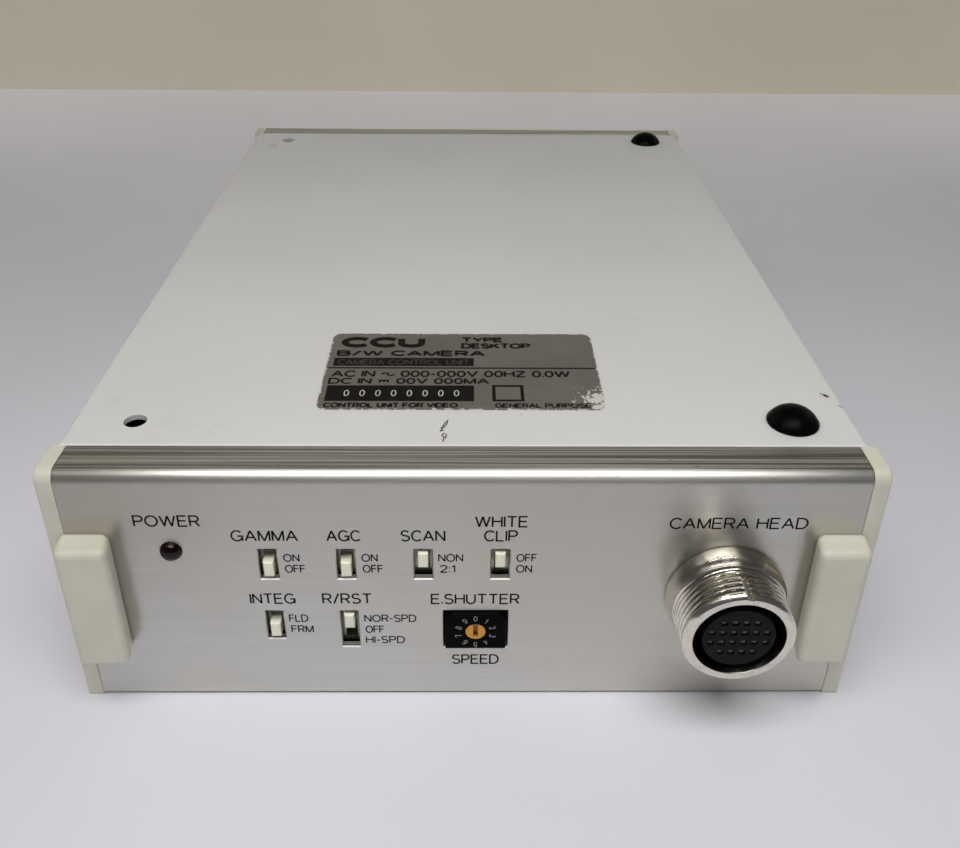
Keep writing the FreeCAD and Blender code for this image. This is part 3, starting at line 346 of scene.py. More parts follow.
def foil(name, worn_corner):
    """The rating label's dull metal, faintly streaked, flaked off along its edges and at one corner."""
    colour, bare = (0.27, 0.255, 0.235), (0.62, 0.62, 0.58)
    streak, flake, cloud, rim_width, corner_reach = 0.5 * MM, 1.1 * MM, 14 * MM, 0.7 * MM, 8 * MM
    mat = new_material(name, colour, 0.42, metallic=0.6)
    streaks = noise(mat, streak, (0.03, 1, 1), detail=4.0)
    tone = blend_colour(mat, colour, shade(colour, 0.90), spread(mat, streaks, 0.35, 0.70))
    clouds = spread(mat, noise(mat, cloud, detail=5.0), 0.45, 0.75)
    tone = blend_colour(mat, tone, shade(colour, 0.70), times(mat, clouds, 0.6))
    rim = spread(mat, edge_gap(mat, LABEL_LOW, LABEL_HIGH), 0.0, rim_width, 0.285, 0.0)
    corner = times(mat, near(mat, worn_corner, corner_reach), 0.42)
    flaky = noise(mat, flake, detail=6.0, distortion=0.8)
    wear = math_node(mat, "ADD", flaky, math_node(mat, "MAXIMUM", rim, corner))
    wear = spread(mat, wear, 0.76, 0.80)
    blend_colour(mat, tone, bare, wear)
    wire(mat, spread(mat, wear, 0.0, 1.0, 0.6, 0.0), principled(mat).inputs["Metallic"])
    roughness_between(mat, clouds, 0.38, 0.50)
    bump(mat, (streaks, 0.003 * MM), (wear, -0.03 * MM))
    return mat


def circuit_board(name):
    """Green solder mask over traces that run along both axes."""
    mask, trace, darker_green = (0.018, 0.12, 0.045), (0.05, 0.24, 0.09), (0.01, 0.07, 0.03)
    mat = new_material(name, mask, 0.32)
    traces = add(mat, "TexBrick", Scale=260.0, offset=0.37, squash=1.6)
    traces.inputs["Mortar Size"].default_value = 0.028
    wire(mat, coordinates(mat), traces.inputs["Vector"])
    line = traces.outputs["Fac"]
    tone = blend_colour(mat, mask, trace, line)
    blend_colour(mat, tone, darker_green, spread(mat, noise(mat, 11 * MM), 0.50, 0.75))
    bump(mat, (line, 0.03 * MM))
    return mat


def laminations(name):
    """The edges of a stack of transformer sheets."""
    light_steel, dark_steel = (0.13, 0.12, 0.11), (0.05, 0.045, 0.04)
    mat = new_material(name, light_steel, 0.5, metallic=0.6)
    sheets = add(mat, "TexWave", bands_direction="Y", Scale=300.0, Distortion=0.4)
    wire(mat, coordinates(mat), sheets.inputs["Vector"])
    blend_colour(mat, light_steel, dark_steel, sheets.outputs["Fac"])
    bump(mat, (sheets.outputs["Fac"], 0.06 * MM))
    return mat


def taped(name, colour):
    """A coil wrapped in laps of tape."""
    mat = new_material(name, colour, 0.28, Coat_Weight=0.3)
    laps = add(mat, "TexWave", bands_direction="Z", Scale=60.0, Distortion=1.5)
    wire(mat, coordinates(mat), laps.inputs["Vector"])
    blend_colour(mat, colour, shade(colour, 0.6), spread(mat, laps.outputs["Fac"], 0.75, 0.95))
    bump(mat, (laps.outputs["Fac"], 0.04 * MM), (noise(mat, 3 * MM), 0.05 * MM))
    return mat


def clear_glass(name):
    """The fuse's glass tube."""
    mat = new_material(name, (0.85, 0.90, 0.90), 0.06, IOR=1.5)
    principled(mat).inputs["Transmission Weight"].default_value = 0.85
    roughness_between(mat, noise(mat, 2 * MM), 0.04, 0.12)
    bump(mat, (noise(mat, 3 * MM), 0.01 * MM))
    return mat


def cloth(name, colour):
    """The table covering: pale, with a fine weave and soft large waves."""
    mat = new_material(name, colour, 0.9)
    clouds = spread(mat, noise(mat, 120 * MM, detail=3.0), 0.35, 0.70)
    blend_colour(mat, colour, shade(colour, 0.95), clouds)
    weave = noise(mat, 0.6 * MM, detail=2.0)
    folds = noise(mat, 90 * MM, (1, 0.35, 1), detail=2.0)
    bump(mat, (weave, 0.02 * MM), (folds, 2.5 * MM))
    return mat


CREAM = (0.70, 0.685, 0.575)
GRIME_AND_SHADE = (0.27, 0.25, 0.20)
NICKEL = (0.78, 0.74, 0.66)
SMUDGES = [                 # centre, reach and strength of the grimy places on the cover
    ((-0.053, -0.086, COVER_TOP), 0.006, 0.10),
    ((-0.045, -0.086, COVER_TOP), 0.005, 0.08),
    ((-0.069, -0.0965, COVER_TOP), 0.003, 0.70),
    ((0.0687, -0.0753, COVER_TOP), 0.0016, 0.35),
    ((0.0702, -0.0945, COVER_TOP), 0.003, 0.60),
    ((-0.064, 0.078, COVER_TOP), 0.003, 0.60),
]
WORN_CORNER = (LABEL_HIGH.x - 0.5 * MM, LABEL_LOW.y + 3 * MM, LABEL_HIGH.z)
# Centre of the painted dark reflection on the front panel.
DARK_REFLECTION_CORNER = (-66 * MM, FRONT, 47 * MM)
# Colours of specks and of painted shade with grime in corners, for moulded parts.
DARK_SPECKS_AND_SHADE = (0.08, 0.075, 0.07)
SLOT_DIRT_AND_SHADE = (0.03, 0.012, 0.004)
CHIP_DUST_AND_SHADE = (0.12, 0.11, 0.10)

MATERIALS = {
    "cover_paint": enamel("cover_paint", (0.72, 0.72, 0.705), GRIME_AND_SHADE, SMUDGES),
    "tray_paint": enamel("tray_paint", (0.65, 0.65, 0.62), GRIME_AND_SHADE),
    "panel_aluminium": brushed("panel_aluminium", (0.62, 0.615, 0.585), 0.32),
    "cap_plastic": moulded("cap_plastic", CREAM, 0.34, depth=0.007 * MM, dirt_and_shade=0.35),
    "screw_steel": plated("screw_steel", (0.55, 0.54, 0.50), 0.3),
    "foot_rubber": rubber("foot_rubber"),
    "label_metal": foil("label_metal", WORN_CORNER),
    "lamp_lens": lamp_lens("lamp_lens"),
    "switch_black": moulded("switch_black", (0.0022, 0.0022, 0.0026), 0.40, dirt_and_shade=0.05,
                            dirt_and_shade_colour=DARK_SPECKS_AND_SHADE, Specular_IOR_Level=0.03),
    # Its slot is darkened almost fully: painted shade with dirt in it.
    "rotor_orange": moulded("rotor_orange", (0.72, 0.33, 0.03), 0.42, dirt_and_shade=0.97, dirt_and_shade_colour=SLOT_DIRT_AND_SHADE),
    "board_green": circuit_board("board_green"),
    "nickel_plate": plated("nickel_plate", NICKEL, 0.14, wear=0.7, shade_and_dirt_reach=0.6 * MM),
    "insert_black": moulded("insert_black", (0.005, 0.005, 0.0054), 0.42, dirt_and_shade=0.05,
                            dirt_and_shade_colour=DARK_SPECKS_AND_SHADE, Specular_IOR_Level=0.10),
    "contact_brass": plated("contact_brass", (0.12, 0.105, 0.08), 0.30),
    "insulator_white": moulded("insulator_white", (0.78, 0.77, 0.72), 0.4),
    "ribbon_grey": moulded("ribbon_grey", (0.38, 0.39, 0.41), 0.5),
    "lead_pvc": moulded("lead_pvc", (0.20, 0.05, 0.03), 0.4),
    "core_steel": laminations("core_steel"),
    "coil_tape": taped("coil_tape", (0.60, 0.42, 0.06)),
    "can_sleeve": moulded("can_sleeve", (0.02, 0.04, 0.13), 0.25, dirt_and_shade=0.2),
    "heatsink_black": moulded("heatsink_black", (0.02, 0.02, 0.02), 0.5, metallic=0.4),
    "chip_black": moulded("chip_black", (0.02, 0.02, 0.022), 0.5, dirt_and_shade=0.15, dirt_and_shade_colour=CHIP_DUST_AND_SHADE),
    "fuse_glass": clear_glass("fuse_glass"),
    "switch_steel": plated("switch_steel", (0.34, 0.34, 0.28), 0.42, wear=0.3),
    "knob_cream": moulded("knob_cream", (0.96, 0.965, 0.765), 0.30, dirt_and_shade=0.12),
}
BLACK_INK = ink("black_ink", (0.006, 0.0055, 0.0055))
WHITE_INK = ink("white_ink", (0.52, 0.52, 0.50), 0.3)
GREY_INK = ink("grey_ink", (0.36, 0.36, 0.34), 0.1)
FAINT_INK = ink("faint_ink", (0.075, 0.075, 0.07), 0.1)
SCUFF_INK = ink("scuff_ink", (0.035, 0.03, 0.027), 0.6)

for part in frame["record"]["subparts"]:
    data = NODES[part["node"]].data
    data.materials.clear()
    data.materials.append(MATERIALS[part["material_slot"]])


# ---------------------------------------------------------------- mesh helpers

def add_piece(name, mesh, mat, smooth=True):
    """A new object of the case, with its material."""
    piece = bpy.data.objects.new(name, mesh)
    bpy.context.scene.collection.objects.link(piece)
    mesh.materials.clear()
    mesh.materials.append(mat)
    if smooth:
        for polygon in mesh.polygons:
            polygon.use_smooth = True
        mesh.set_sharp_from_angle(angle=SMOOTH_ANGLE)
    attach(piece, "case")
    return piece


def add_print(name, mesh, mat=None):
    """A printed piece, in black ink unless another is given."""
    add_piece(name, mesh, mat or BLACK_INK, smooth=False)


def mesh_from(name, bm):
    """The finished mesh, with its faces turned outward."""
    bmesh.ops.recalc_face_normals(bm, faces=bm.faces)
    mesh = bpy.data.meshes.new(name)
    bm.to_mesh(mesh)
    bm.free()
    return mesh


def lathe(name, rings, sides, radius_at=None):
    """A closed surface turned about the Y axis. rings is a list of (radius, y); the last joins the first."""
    bm = bmesh.new()
    grid = []
    for radius, y in rings:
        row = []
        for n in range(sides):
            angle = 2 * math.pi * n / sides
            r = radius_at(angle, y, radius) if radius_at else radius
            row.append(bm.verts.new((r * math.sin(angle), y, r * math.cos(angle))))
        grid.append(row)
    for first, second in zip(grid, grid[1:] + grid[:1]):
        for n in range(sides):
            m = (n + 1) % sides
            bm.faces.new((first[n], first[m], second[m], second[n]))
    return mesh_from(name, bm)


def move(mesh, x, y, z):
    mesh.transform(Matrix.Translation((x, y, z)))
    return mesh


DEGREES_PER_STEP = 14       # of a character's curve


def bow(x, y, half_width, half_height, start, end):
    """Points along part of an ellipse, from one angle to another, in degrees."""
    count = max(4, round(abs(end - start) / DEGREES_PER_STEP))
    turns = [math.radians(start + (end - start) * n / count) for n in range(count + 1)]
    return [(x + half_width * math.cos(t), y + half_height * math.sin(t)) for t in turns]


# Strokes of each character for capitals 1 high, standing on 0.
BOWL = bow(0.42, 0.735, 0.28, 0.265, 90, -90)
ROUND = bow(0.48, 0.5, 0.48, 0.5, 0, 360)
NARROW = bow(0.31, 0.5, 0.31, 0.5, 0, 360)
GLYPHS = {
    "A": [[(0, 0), (0.44, 1), (0.88, 0)], [(0.15, 0.34), (0.73, 0.34)]],
    "B": [[(0, 0), (0, 1)] + bow(0.42, 0.765, 0.26, 0.235, 90, -90) + [(0, 0.53)],
          [(0.42, 0.53)] + bow(0.44, 0.265, 0.30, 0.265, 90, -90) + [(0, 0)]],
    "C": [bow(0.46, 0.5, 0.46, 0.5, 42, 318)],
    "D": [[(0, 0), (0, 1)] + bow(0.36, 0.5, 0.46, 0.5, 90, -90) + [(0, 0)]],
    "E": [[(0.68, 1), (0, 1), (0, 0), (0.70, 0)], [(0, 0.53), (0.62, 0.53)]],
    "F": [[(0.64, 1), (0, 1), (0, 0)], [(0, 0.52), (0.58, 0.52)]],
    "G": [bow(0.46, 0.5, 0.46, 0.5, 42, 335), [(0.50, 0.47), (0.90, 0.47), (0.90, 0)]],
    "H": [[(0, 0), (0, 1)], [(0.78, 0), (0.78, 1)], [(0, 0.53), (0.78, 0.53)]],
    "I": [[(0, 0), (0, 1)]],
    "K": [[(0, 0), (0, 1)], [(0.72, 1), (0, 0.36)], [(0.26, 0.59), (0.76, 0)]],
    "L": [[(0, 1), (0, 0), (0.62, 0)]],
    "M": [[(0, 0), (0, 1), (0.45, 0), (0.90, 1), (0.90, 0)]],
    "N": [[(0, 0), (0, 1), (0.76, 0), (0.76, 1)]],
    "O": [ROUND],
    "P": [[(0, 0), (0, 1)] + BOWL + [(0, 0.47)]],
    "R": [[(0, 0), (0, 1)] + BOWL + [(0, 0.47)], [(0.40, 0.47), (0.72, 0)]],
    "S": [bow(0.36, 0.755, 0.32, 0.245, 25, 260) + bow(0.38, 0.255, 0.35, 0.255, 80, -155)],
    "T": [[(0, 1), (0.78, 1)], [(0.39, 1), (0.39, 0)]],
    "U": [[(0, 1)] + bow(0.37, 0.36, 0.37, 0.36, 180, 360) + [(0.74, 1)]],
    "V": [[(0, 1), (0.42, 0), (0.84, 1)]],
    "W": [[(0, 1), (0.30, 0), (0.60, 1), (0.90, 0), (1.20, 1)]],
    "Y": [[(0, 1), (0.41, 0.45), (0.82, 1)], [(0.41, 0.45), (0.41, 0)]],
    "Z": [[(0, 1), (0.72, 1), (0, 0), (0.74, 0)]],
    "0": [NARROW],
    "1": [[(0, 0.76), (0.22, 1), (0.22, 0)]],
    "2": [bow(0.30, 0.71, 0.29, 0.29, 165, -35) + [(0, 0), (0.62, 0)]],
    "3": [bow(0.29, 0.76, 0.27, 0.24, 150, -90), bow(0.30, 0.26, 0.31, 0.26, 90, -150)],
    "4": [[(0.48, 0), (0.48, 1), (0, 0.30), (0.66, 0.30)]],
    "5": [[(0.56, 1), (0.10, 1), (0.05, 0.48)], bow(0.29, 0.32, 0.32, 0.32, 140, -155)],
    "6": [bow(0.31, 0.31, 0.30, 0.31, 0, 360), bow(0.41, 0.45, 0.40, 0.55, 60, 190)],
    "7": [[(0, 1), (0.60, 1), (0.20, 0)]],
    "8": [bow(0.31, 0.76, 0.26, 0.24, 0, 360), bow(0.31, 0.26, 0.31, 0.26, 0, 360)],
    "9": [bow(0.31, 0.69, 0.30, 0.31, 0, 360), bow(0.21, 0.55, 0.40, 0.55, -120, 10)],
    ":": [[(0, 0.05), (0, 0.19)], [(0, 0.58), (0, 0.72)]],
    ".": [[(0, 0), (0, 0.14)]],
    "/": [[(0, -0.04), (0.46, 1.04)]],
    "-": [[(0, 0.42), (0.34, 0.42)]],
    "~": [bow(0.25, 0.42, 0.25, 0.22, 180, 0) + bow(0.75, 0.42, 0.25, 0.22, 195, 360)],
    "=": [[(0, 0.62), (0.90, 0.62)], [(0, 0.36), (0.22, 0.36)], [(0.34, 0.36), (0.56, 0.36)],
          [(0.68, 0.36), (0.90, 0.36)]],
}
LETTER_GAP, WORD_GAP = 0.24, 0.46
NARROWEST_LINE = 0.3        # a line of words narrower than this keeps its own proportions
SHARPEST_MITRE = math.radians(100)
SHORTEST_REACH = 0.6        # limits how far a mitred corner sticks out


def strokes_of(words):
    """All strokes of a line of words, for capitals 1 high, and the line's width."""
    strokes, cursor = [], 0.0
    for character in words:
        if character == " ":
            cursor += WORD_GAP
            continue
        glyph = GLYPHS[character]
        strokes += [[(cursor + x, y) for x, y in stroke] for stroke in glyph]
        cursor += max(x for stroke in glyph for x, _ in stroke) + LETTER_GAP
    return strokes, cursor - LETTER_GAP


def ribbon(bm, path, width):
    """A closed flat bar of ink along a path in the XY plane; a path that ends where it starts is a ring."""
    points = [Vector(point) for point in path]
    ring = (points[0] - points[-1]).length < width / 100
    if ring:
        points.pop()
    sections = []
    for n, point in enumerate(points):
        before, after = points[n - 1], points[(n + 1) % len(points)]
        leave = (after - point).normalized() if ring or n < len(points) - 1 else (point - before).normalized()
        arrive = (point - before).normalized() if ring or n > 0 else leave
        way = (arrive + leave).normalized()
        across = Vector((-way.y, way.x))
        reach = width / 2 / max(SHORTEST_REACH, across.dot(Vector((-leave.y, leave.x))))
        corners = []
        for side, level in ((1, -1), (1, 1), (-1, 1), (-1, -1)):
            spot = point + across * reach * side
            corners.append(bm.verts.new((spot.x, spot.y, level * INK / 2)))
        sections.append(corners)
    pairs = list(zip(sections, sections[1:]))
    if ring:
        pairs.append((sections[-1], sections[0]))
    else:
        bm.faces.new(sections[0])
        bm.faces.new(list(reversed(sections[-1])))
    for first, second in pairs:
        for n in range(4):
            m = (n + 1) % 4
            bm.faces.new((first[n], second[n], second[m], first[m]))


def split_at_spikes(path):
    """The path's stretches between its corners that are too sharp for a mitre."""
    stretches, start = [], 0
    for n in range(1, len(path) - 1):
        arrive = Vector(path[n]) - Vector(path[n - 1])
        leave = Vector(path[n + 1]) - Vector(path[n])
        if arrive.angle(leave) > SHARPEST_MITRE:
            stretches.append(path[start:n + 1])
            start = n
    return stretches + [path[start:]]


def ribbons(name, paths, width):
    """A mesh of ink bars along paths given in metres."""
    bm = bmesh.new()
    for path in paths:
        for stretch in split_at_spikes(path):
            ribbon(bm, stretch, width)
    return mesh_from(name, bm)


def lettering(name, words, left, right, base, height, weight):
    """Lettering in the XY plane from left to right in metres, standing on base, drawn with an even pen."""
    strokes, width = strokes_of(words)
    across = height if width < NARROWEST_LINE else (right - left - weight) / width
    up = height - weight
    paths = [[(left + weight / 2 + x * across, base + weight / 2 + y * up) for x, y in stroke]
             for stroke in strokes]
    return ribbons(name, paths, weight)


def on_front(mesh):
    """Turns lettering from the XY plane onto the front panel."""
    mesh.transform(Matrix.Rotation(QUARTER_TURN, 4, "X"))
    return move(mesh, 0, FRONT - INK / 2, 0)


def on_rear(mesh):
    """Turns lettering, laid out as seen from behind, onto the rear panel."""
    mesh.transform(Matrix.Rotation(QUARTER_TURN, 4, "X"))
    mesh.transform(Matrix.Rotation(HALF_TURN, 4, "Z"))
    return move(mesh, 0, REAR + INK / 2, 0)


# ---------------------------------------------------------------- printed legends
# Each row is the piece's name, its words, and its left end, right end and foot in mm.

HEADINGS = [
    ("power", "POWER", -57.2, -45.7, 41.2),
    ("gamma", "GAMMA", -40.8, -29.1, 37.95),
    ("agc", "AGC", -24.2, -18.2, 37.95),
    ("scan", "SCAN", -11.3, -3.4, 37.95),
    ("white", "WHITE", 1.7, 11.0, 41.1),
    ("clip", "CLIP", 3.3, 9.25, 37.95),
    ("integration", "INTEG", -39.0, -30.7, 23.3),
    ("restart", "R/RST", -25.9, -16.8, 23.3),
    ("shutter", "E.SHUTTER", -6.2, 9.95, 23.2),
    ("speed", "SPEED", -2.5, 6.45, 7.95),
    ("camera_head", "CAMERA HEAD", 35.5, 59.7, 40.75),
]
POSITIONS = [
    ("gamma_on", "ON", -32.1, -29.2, 33.3), ("gamma_off", "OFF", -32.0, -28.3, 30.75),
    ("agc_on", "ON", -18.3, -15.4, 33.3), ("agc_off", "OFF", -18.2, -14.5, 30.75),
    ("scan_up", "NON", -4.75, -0.3, 33.3), ("scan_down", "2:1", -4.5, -1.7, 30.75),
    ("clip_off", "OFF", 9.1, 12.8, 33.3), ("clip_on", "ON", 9.1, 12.0, 30.75),
    ("integration_up", "FLD", -32.3, -28.75, 18.85), ("integration_down", "FRM", -32.1, -27.95, 16.15),
    ("restart_up", "NOR-SPD", -18.5, -8.9, 18.8), ("restart_middle", "OFF", -18.4, -14.85, 16.05),
    ("restart_down", "HI-SPD", -18.45, -11.15, 13.4),
]
REAR_LEGENDS = [
    ("sync_in", "SYNC IN", -43.5, -32.5, 36.0), ("video_out", "VIDEO OUT", -21.0, -7.0, 36.0),
    ("dc_in", "DC IN", 14.0, 22.0, 23.5), ("ac_in", "AC IN", 41.2, 48.8, 36.0),
]
HEADING_HEIGHT, HEADING_PEN = 2.55, 0.33
POSITION_HEIGHT, POSITION_PEN = 1.85, 0.25


def legends(rows, prefix, height, pen, place):
    """Prints each row's words; place puts a line of them on its panel."""
    for name, words, left, right, base in rows:
        mesh = lettering(prefix + name, words, left * MM, right * MM, base * MM, height * MM, pen * MM)
        add_print(prefix + name, place(mesh))


legends(HEADINGS, "heading_", HEADING_HEIGHT, HEADING_PEN, on_front)
legends(POSITIONS, "legend_", POSITION_HEIGHT, POSITION_PEN, on_front)
legends(REAR_LEGENDS, "rear_legend_", HEADING_HEIGHT, HEADING_PEN, on_rear)

# ---------------------------------------------------------------- rotary switch digits

SWITCH_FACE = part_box("rotary_switch_body")[0].y
ROTOR_LOW, ROTOR_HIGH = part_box("rotary_switch_rotor")
ROTOR_CENTRE = (ROTOR_LOW + ROTOR_HIGH) / 2
DIGIT_RING, DIGIT_HEIGHT, DIGIT_WIDTH, DIGIT_PEN = 2.68 * MM, 1.20 * MM, 0.68 * MM, 0.11 * MM
DIGITS = 10
for digit in range(DIGITS):
    name = "digit_%d" % digit
    half = DIGIT_WIDTH / 4 if digit == 1 else DIGIT_WIDTH / 2
    mesh = lettering(name, str(digit), -half, half, DIGIT_RING, DIGIT_HEIGHT, DIGIT_PEN)
    mesh.transform(Matrix.Rotation(-math.radians(360 / DIGITS * digit), 4, "Z"))
    mesh.transform(Matrix.Rotation(QUARTER_TURN, 4, "X"))
    move(mesh, ROTOR_CENTRE.x, SWITCH_FACE - INK / 2, ROTOR_CENTRE.z)
    add_piece(name, mesh, GREY_INK, smooth=False)

# ---------------------------------------------------------------- power lamp

LAMP_LOW, LAMP_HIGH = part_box("power_lamp")
LAMP_X, LAMP_Z = (LAMP_LOW.x + LAMP_HIGH.x) / 2, (LAMP_LOW.z + LAMP_HIGH.z) / 2
LENS_R, LENS_BULGE, LENS_STEPS, LENS_SIDES = 1.9 * MM, 1.45 * MM, 12, 48
RIM_R, RIM_FRONT, RIM_BACK = 2.3 * MM, FRONT + 1.26 * MM, FRONT + 2.2 * MM
BARREL_BACK = FRONT + 1.25 * MM
PINHOLE = 0.02 * MM         # radius left open on the axis, so that no face has a side of no length


def lamp_rings():
    """A lens with a rounded end, a short barrel and the rim behind the panel."""
    rings = [(PINHOLE, LAMP_LOW.y)]
    for n in range(1, LENS_STEPS + 1):
        turn = QUARTER_TURN * n / LENS_STEPS
        rings.append((LENS_R * math.sin(turn), LAMP_LOW.y + LENS_BULGE * (1 - math.cos(turn))))
    return rings + [(LENS_R, BARREL_BACK), (RIM_R, RIM_FRONT), (RIM_R, RIM_BACK), (PINHOLE, RIM_BACK)]


lens_mesh = move(lathe("lamp_lens", lamp_rings(), LENS_SIDES), LAMP_X, 0, LAMP_Z)
lens = add_piece("lamp_lens", lens_mesh, MATERIALS["lamp_lens"])
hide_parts("power_lamp")

# ---------------------------------------------------------------- camera-head receptacle

SHELL_LOW, SHELL_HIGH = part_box("head_receptacle_shell")
HEAD_X, HEAD_Z = (SHELL_LOW.x + SHELL_HIGH.x) / 2, (SHELL_LOW.z + SHELL_HIGH.z) / 2
TIP, SHELL_BACK = SHELL_LOW.y, SHELL_HIGH.y
THREAD_R, THREAD_DEPTH, PITCH = 9.8 * MM, 0.6 * MM, 1.2 * MM
THREAD_START, THREAD_END = FRONT - 4.75 * MM, TIP + 0.55 * MM
THREAD_STEPS, SHELL_SIDES = 96, 288
RUN_OUT = 0.5 * PITCH
GROOVE_HALF_WIDTH = 0.34    # of one pitch
FLANK_STEEPNESS = 1.3       # above 1 leaves a flat at the bottom of the groove
KEYWAY_ANGLE, KEYWAY_HALF_WIDTH, KEYWAY_DEPTH = math.radians(4), 0.65 * MM, 0.75 * MM
KEYWAY_START = THREAD_START - 1.6 * MM
MOUTH_R, BACK_R, BACK_STEP = 7.94 * MM, 7.0 * MM, 2.5 * MM
BARREL_R = 8.5              # of the shell behind the panel, in mm
TIP_PROFILE = [             # radius, and distance behind the tip, in mm
    (8.05, 0.1), (8.25, 0), (9.2, 0), (9.32, 0.06), (9.74, 0.46),
]
NECK_PROFILE = [            # radius, and distance ahead of the panel, in mm
    (9.62, 4.66), (9.62, 4.50), (10.0, 4.36), (10.1, 4.24), (10.1, 3.6), (10.62, 2.7), (10.7, 2.52),
    (10.7, 0.1), (10.6, 0), (BARREL_R, 0),
]


def threaded(angle, y, radius):
    """The thread's flank at this angle and distance, and the keyway that opens at the tip."""
    if radius == THREAD_R:
        ends = min(THREAD_START - y, y - THREAD_END) / RUN_OUT
        phase = (y / PITCH - angle / (2 * math.pi)) % 1.0
        groove = max(0.0, 1 - abs(phase - 0.5) / GROOVE_HALF_WIDTH)
        radius -= THREAD_DEPTH * min(1.0, groove * FLANK_STEEPNESS) * max(0.0, min(1.0, ends))
    off = abs((angle - KEYWAY_ANGLE + math.pi) % (2 * math.pi) - math.pi)
    if off * THREAD_R < KEYWAY_HALF_WIDTH and y < KEYWAY_START and radius > THREAD_R - KEYWAY_DEPTH:
        radius = THREAD_R - KEYWAY_DEPTH
    return radius


def shell_rings():
    """Mouth, tip, thread, undercut, neck, collar and the barrel behind the panel, back to the mouth."""
    rings = [(MOUTH_R, TIP + 0.35 * MM)]
    rings += [(radius * MM, TIP + behind * MM) for radius, behind in TIP_PROFILE]
    for n in range(THREAD_STEPS + 1):
        rings.append((THREAD_R, THREAD_END + (THREAD_START - THREAD_END) * n / THREAD_STEPS))
    rings += [(radius * MM, FRONT - ahead * MM) for radius, ahead in NECK_PROFILE]
    rings += [(BARREL_R * MM, SHELL_BACK), (BACK_R, SHELL_BACK)]
    return rings + [(BACK_R, SHELL_BACK - BACK_STEP), (MOUTH_R, SHELL_BACK - BACK_STEP)]


shell_mesh = move(lathe("receptacle_shell", shell_rings(), SHELL_SIDES, threaded), HEAD_X, 0, HEAD_Z)
shell = add_piece("receptacle_shell", shell_mesh, MATERIALS["nickel_plate"])
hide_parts("head_receptacle_shell")

# ---------------------------------------------------------------- rating label print, in mm from its corner

def on_label(mesh, layer=0):
    """Lays print on the label; a higher layer lies on print that is already there."""
    return move(mesh, LABEL_LOW.x, LABEL_LOW.y, LABEL_HIGH.z + INK * (0.5 + layer))


def bar_path(left, right, low, high):
    """The middle line of a printed bar, whose pen is as wide as the bar is high, and that width."""
    middle = (low + high) / 2 * MM
    return [(left * MM, middle), (right * MM, middle)], (high - low) * MM


def frame_path(left, right, low, high):
    """The middle line of a printed frame."""
    corners = [(left, low), (right, low), (right, high), (left, high), (left, low)]
    return [(x * MM, y * MM) for x, y in corners]


LABEL_BARS = [              # name, left, right, low and high
    ("class", 1.3, 29.4, 15.8, 19.0),
    ("divider", 0.5, 53.5, 14.78, 15.26),
    ("serial", 1.2, 29.4, 2.8, 8.4),
]
LABEL_FRAME, FRAME_PEN = (33.2, 38.6, 3.1, 8.3), 0.65
LABEL_WORDS = [             # name, words, left, right, foot, height, pen and ink
    ("title", "CCU", 1.9, 19.3, 23.2, 4.6, 1.45, BLACK_INK),
    ("kind", "TYPE", 26.8, 35.6, 25.6, 2.15, 0.60, BLACK_INK),
    ("style", "DESKTOP", 26.8, 41.2, 22.9, 2.3, 0.60, BLACK_INK),
    ("name", "B/W CAMERA", 1.5, 31.8, 19.7, 2.4, 0.62, BLACK_INK),
    ("class", "CAMERA CONTROL UNIT", 2.1, 28.6, 16.3, 2.0, 0.20, FAINT_INK),
    ("mains", "AC IN ~ 000-000V 00HZ 0.0W", 1.4, 48.4, 11.5, 2.5, 0.47, BLACK_INK),
    ("low_voltage", "DC IN = 00V 000MA", 1.1, 32.4, 8.9, 2.3, 0.47, BLACK_INK),
    ("number", "0   0   0   0   0   0   0   0", 4.6, 26.6, 4.5, 2.2, 0.22, WHITE_INK),
    ("foot_left", "CONTROL UNIT FOR VIDEO", 1.2, 26.4, 0.55, 1.7, 0.40, BLACK_INK),
    ("foot_right", "GENERAL PURPOSE", 33.3, 51.4, 0.55, 1.6, 0.32, BLACK_INK),
]
for name, left, right, low, high in LABEL_BARS:
    path, pen = bar_path(left, right, low, high)
    add_print("label_bar_" + name, on_label(ribbons(name, [path], pen)))
frame_mesh = ribbons("label_frame", [frame_path(*LABEL_FRAME)], FRAME_PEN * MM)
add_print("label_frame", on_label(frame_mesh))
for name, words, left, right, base, height, pen, mat in LABEL_WORDS:
    mesh = lettering("label_" + name, words, left * MM, right * MM, base * MM, height * MM, pen * MM)
    layer = 0 if mat is BLACK_INK else 1
    add_print("label_text_" + name, on_label(mesh, layer), mat)

# ---------------------------------------------------------------- scuffs on the cover, in mm

SCUFF = [
    [(-3.2, -83.6), (-3.35, -85.0), (-3.9, -86.2), (-4.55, -87.4), (-3.8, -87.1)],
    [(-3.5, -84.2), (-4.1, -85.9), (-4.4, -86.6)],
    [(-3.7, -87.9), (-4.2, -88.7), (-3.75, -89.3), (-3.95, -90.6)],
    [(-3.4, -88.2), (-3.5, -89.6)],
    [(68.0, -74.3), (68.5, -74.9), (69.1, -75.5)],
    [(68.35, -75.15), (68.8, -75.5), (69.3, -75.75)],
    [(68.6, -74.65), (69.0, -75.05), (69.35, -75.4)],
    [(68.45, -74.95), (69.2, -75.6)],
    [(70.1, -78.6), (70.7, -79.3)],
]
SCUFF_PEN = 0.22
scuff_mesh = ribbons("scuff", [[(x * MM, y * MM) for x, y in path] for path in SCUFF], SCUFF_PEN * MM)
add_print("cover_scuff", move(scuff_mesh, 0, 0, COVER_TOP + INK / 4), SCUFF_INK)

# ---------------------------------------------------------------- stage, light and camera

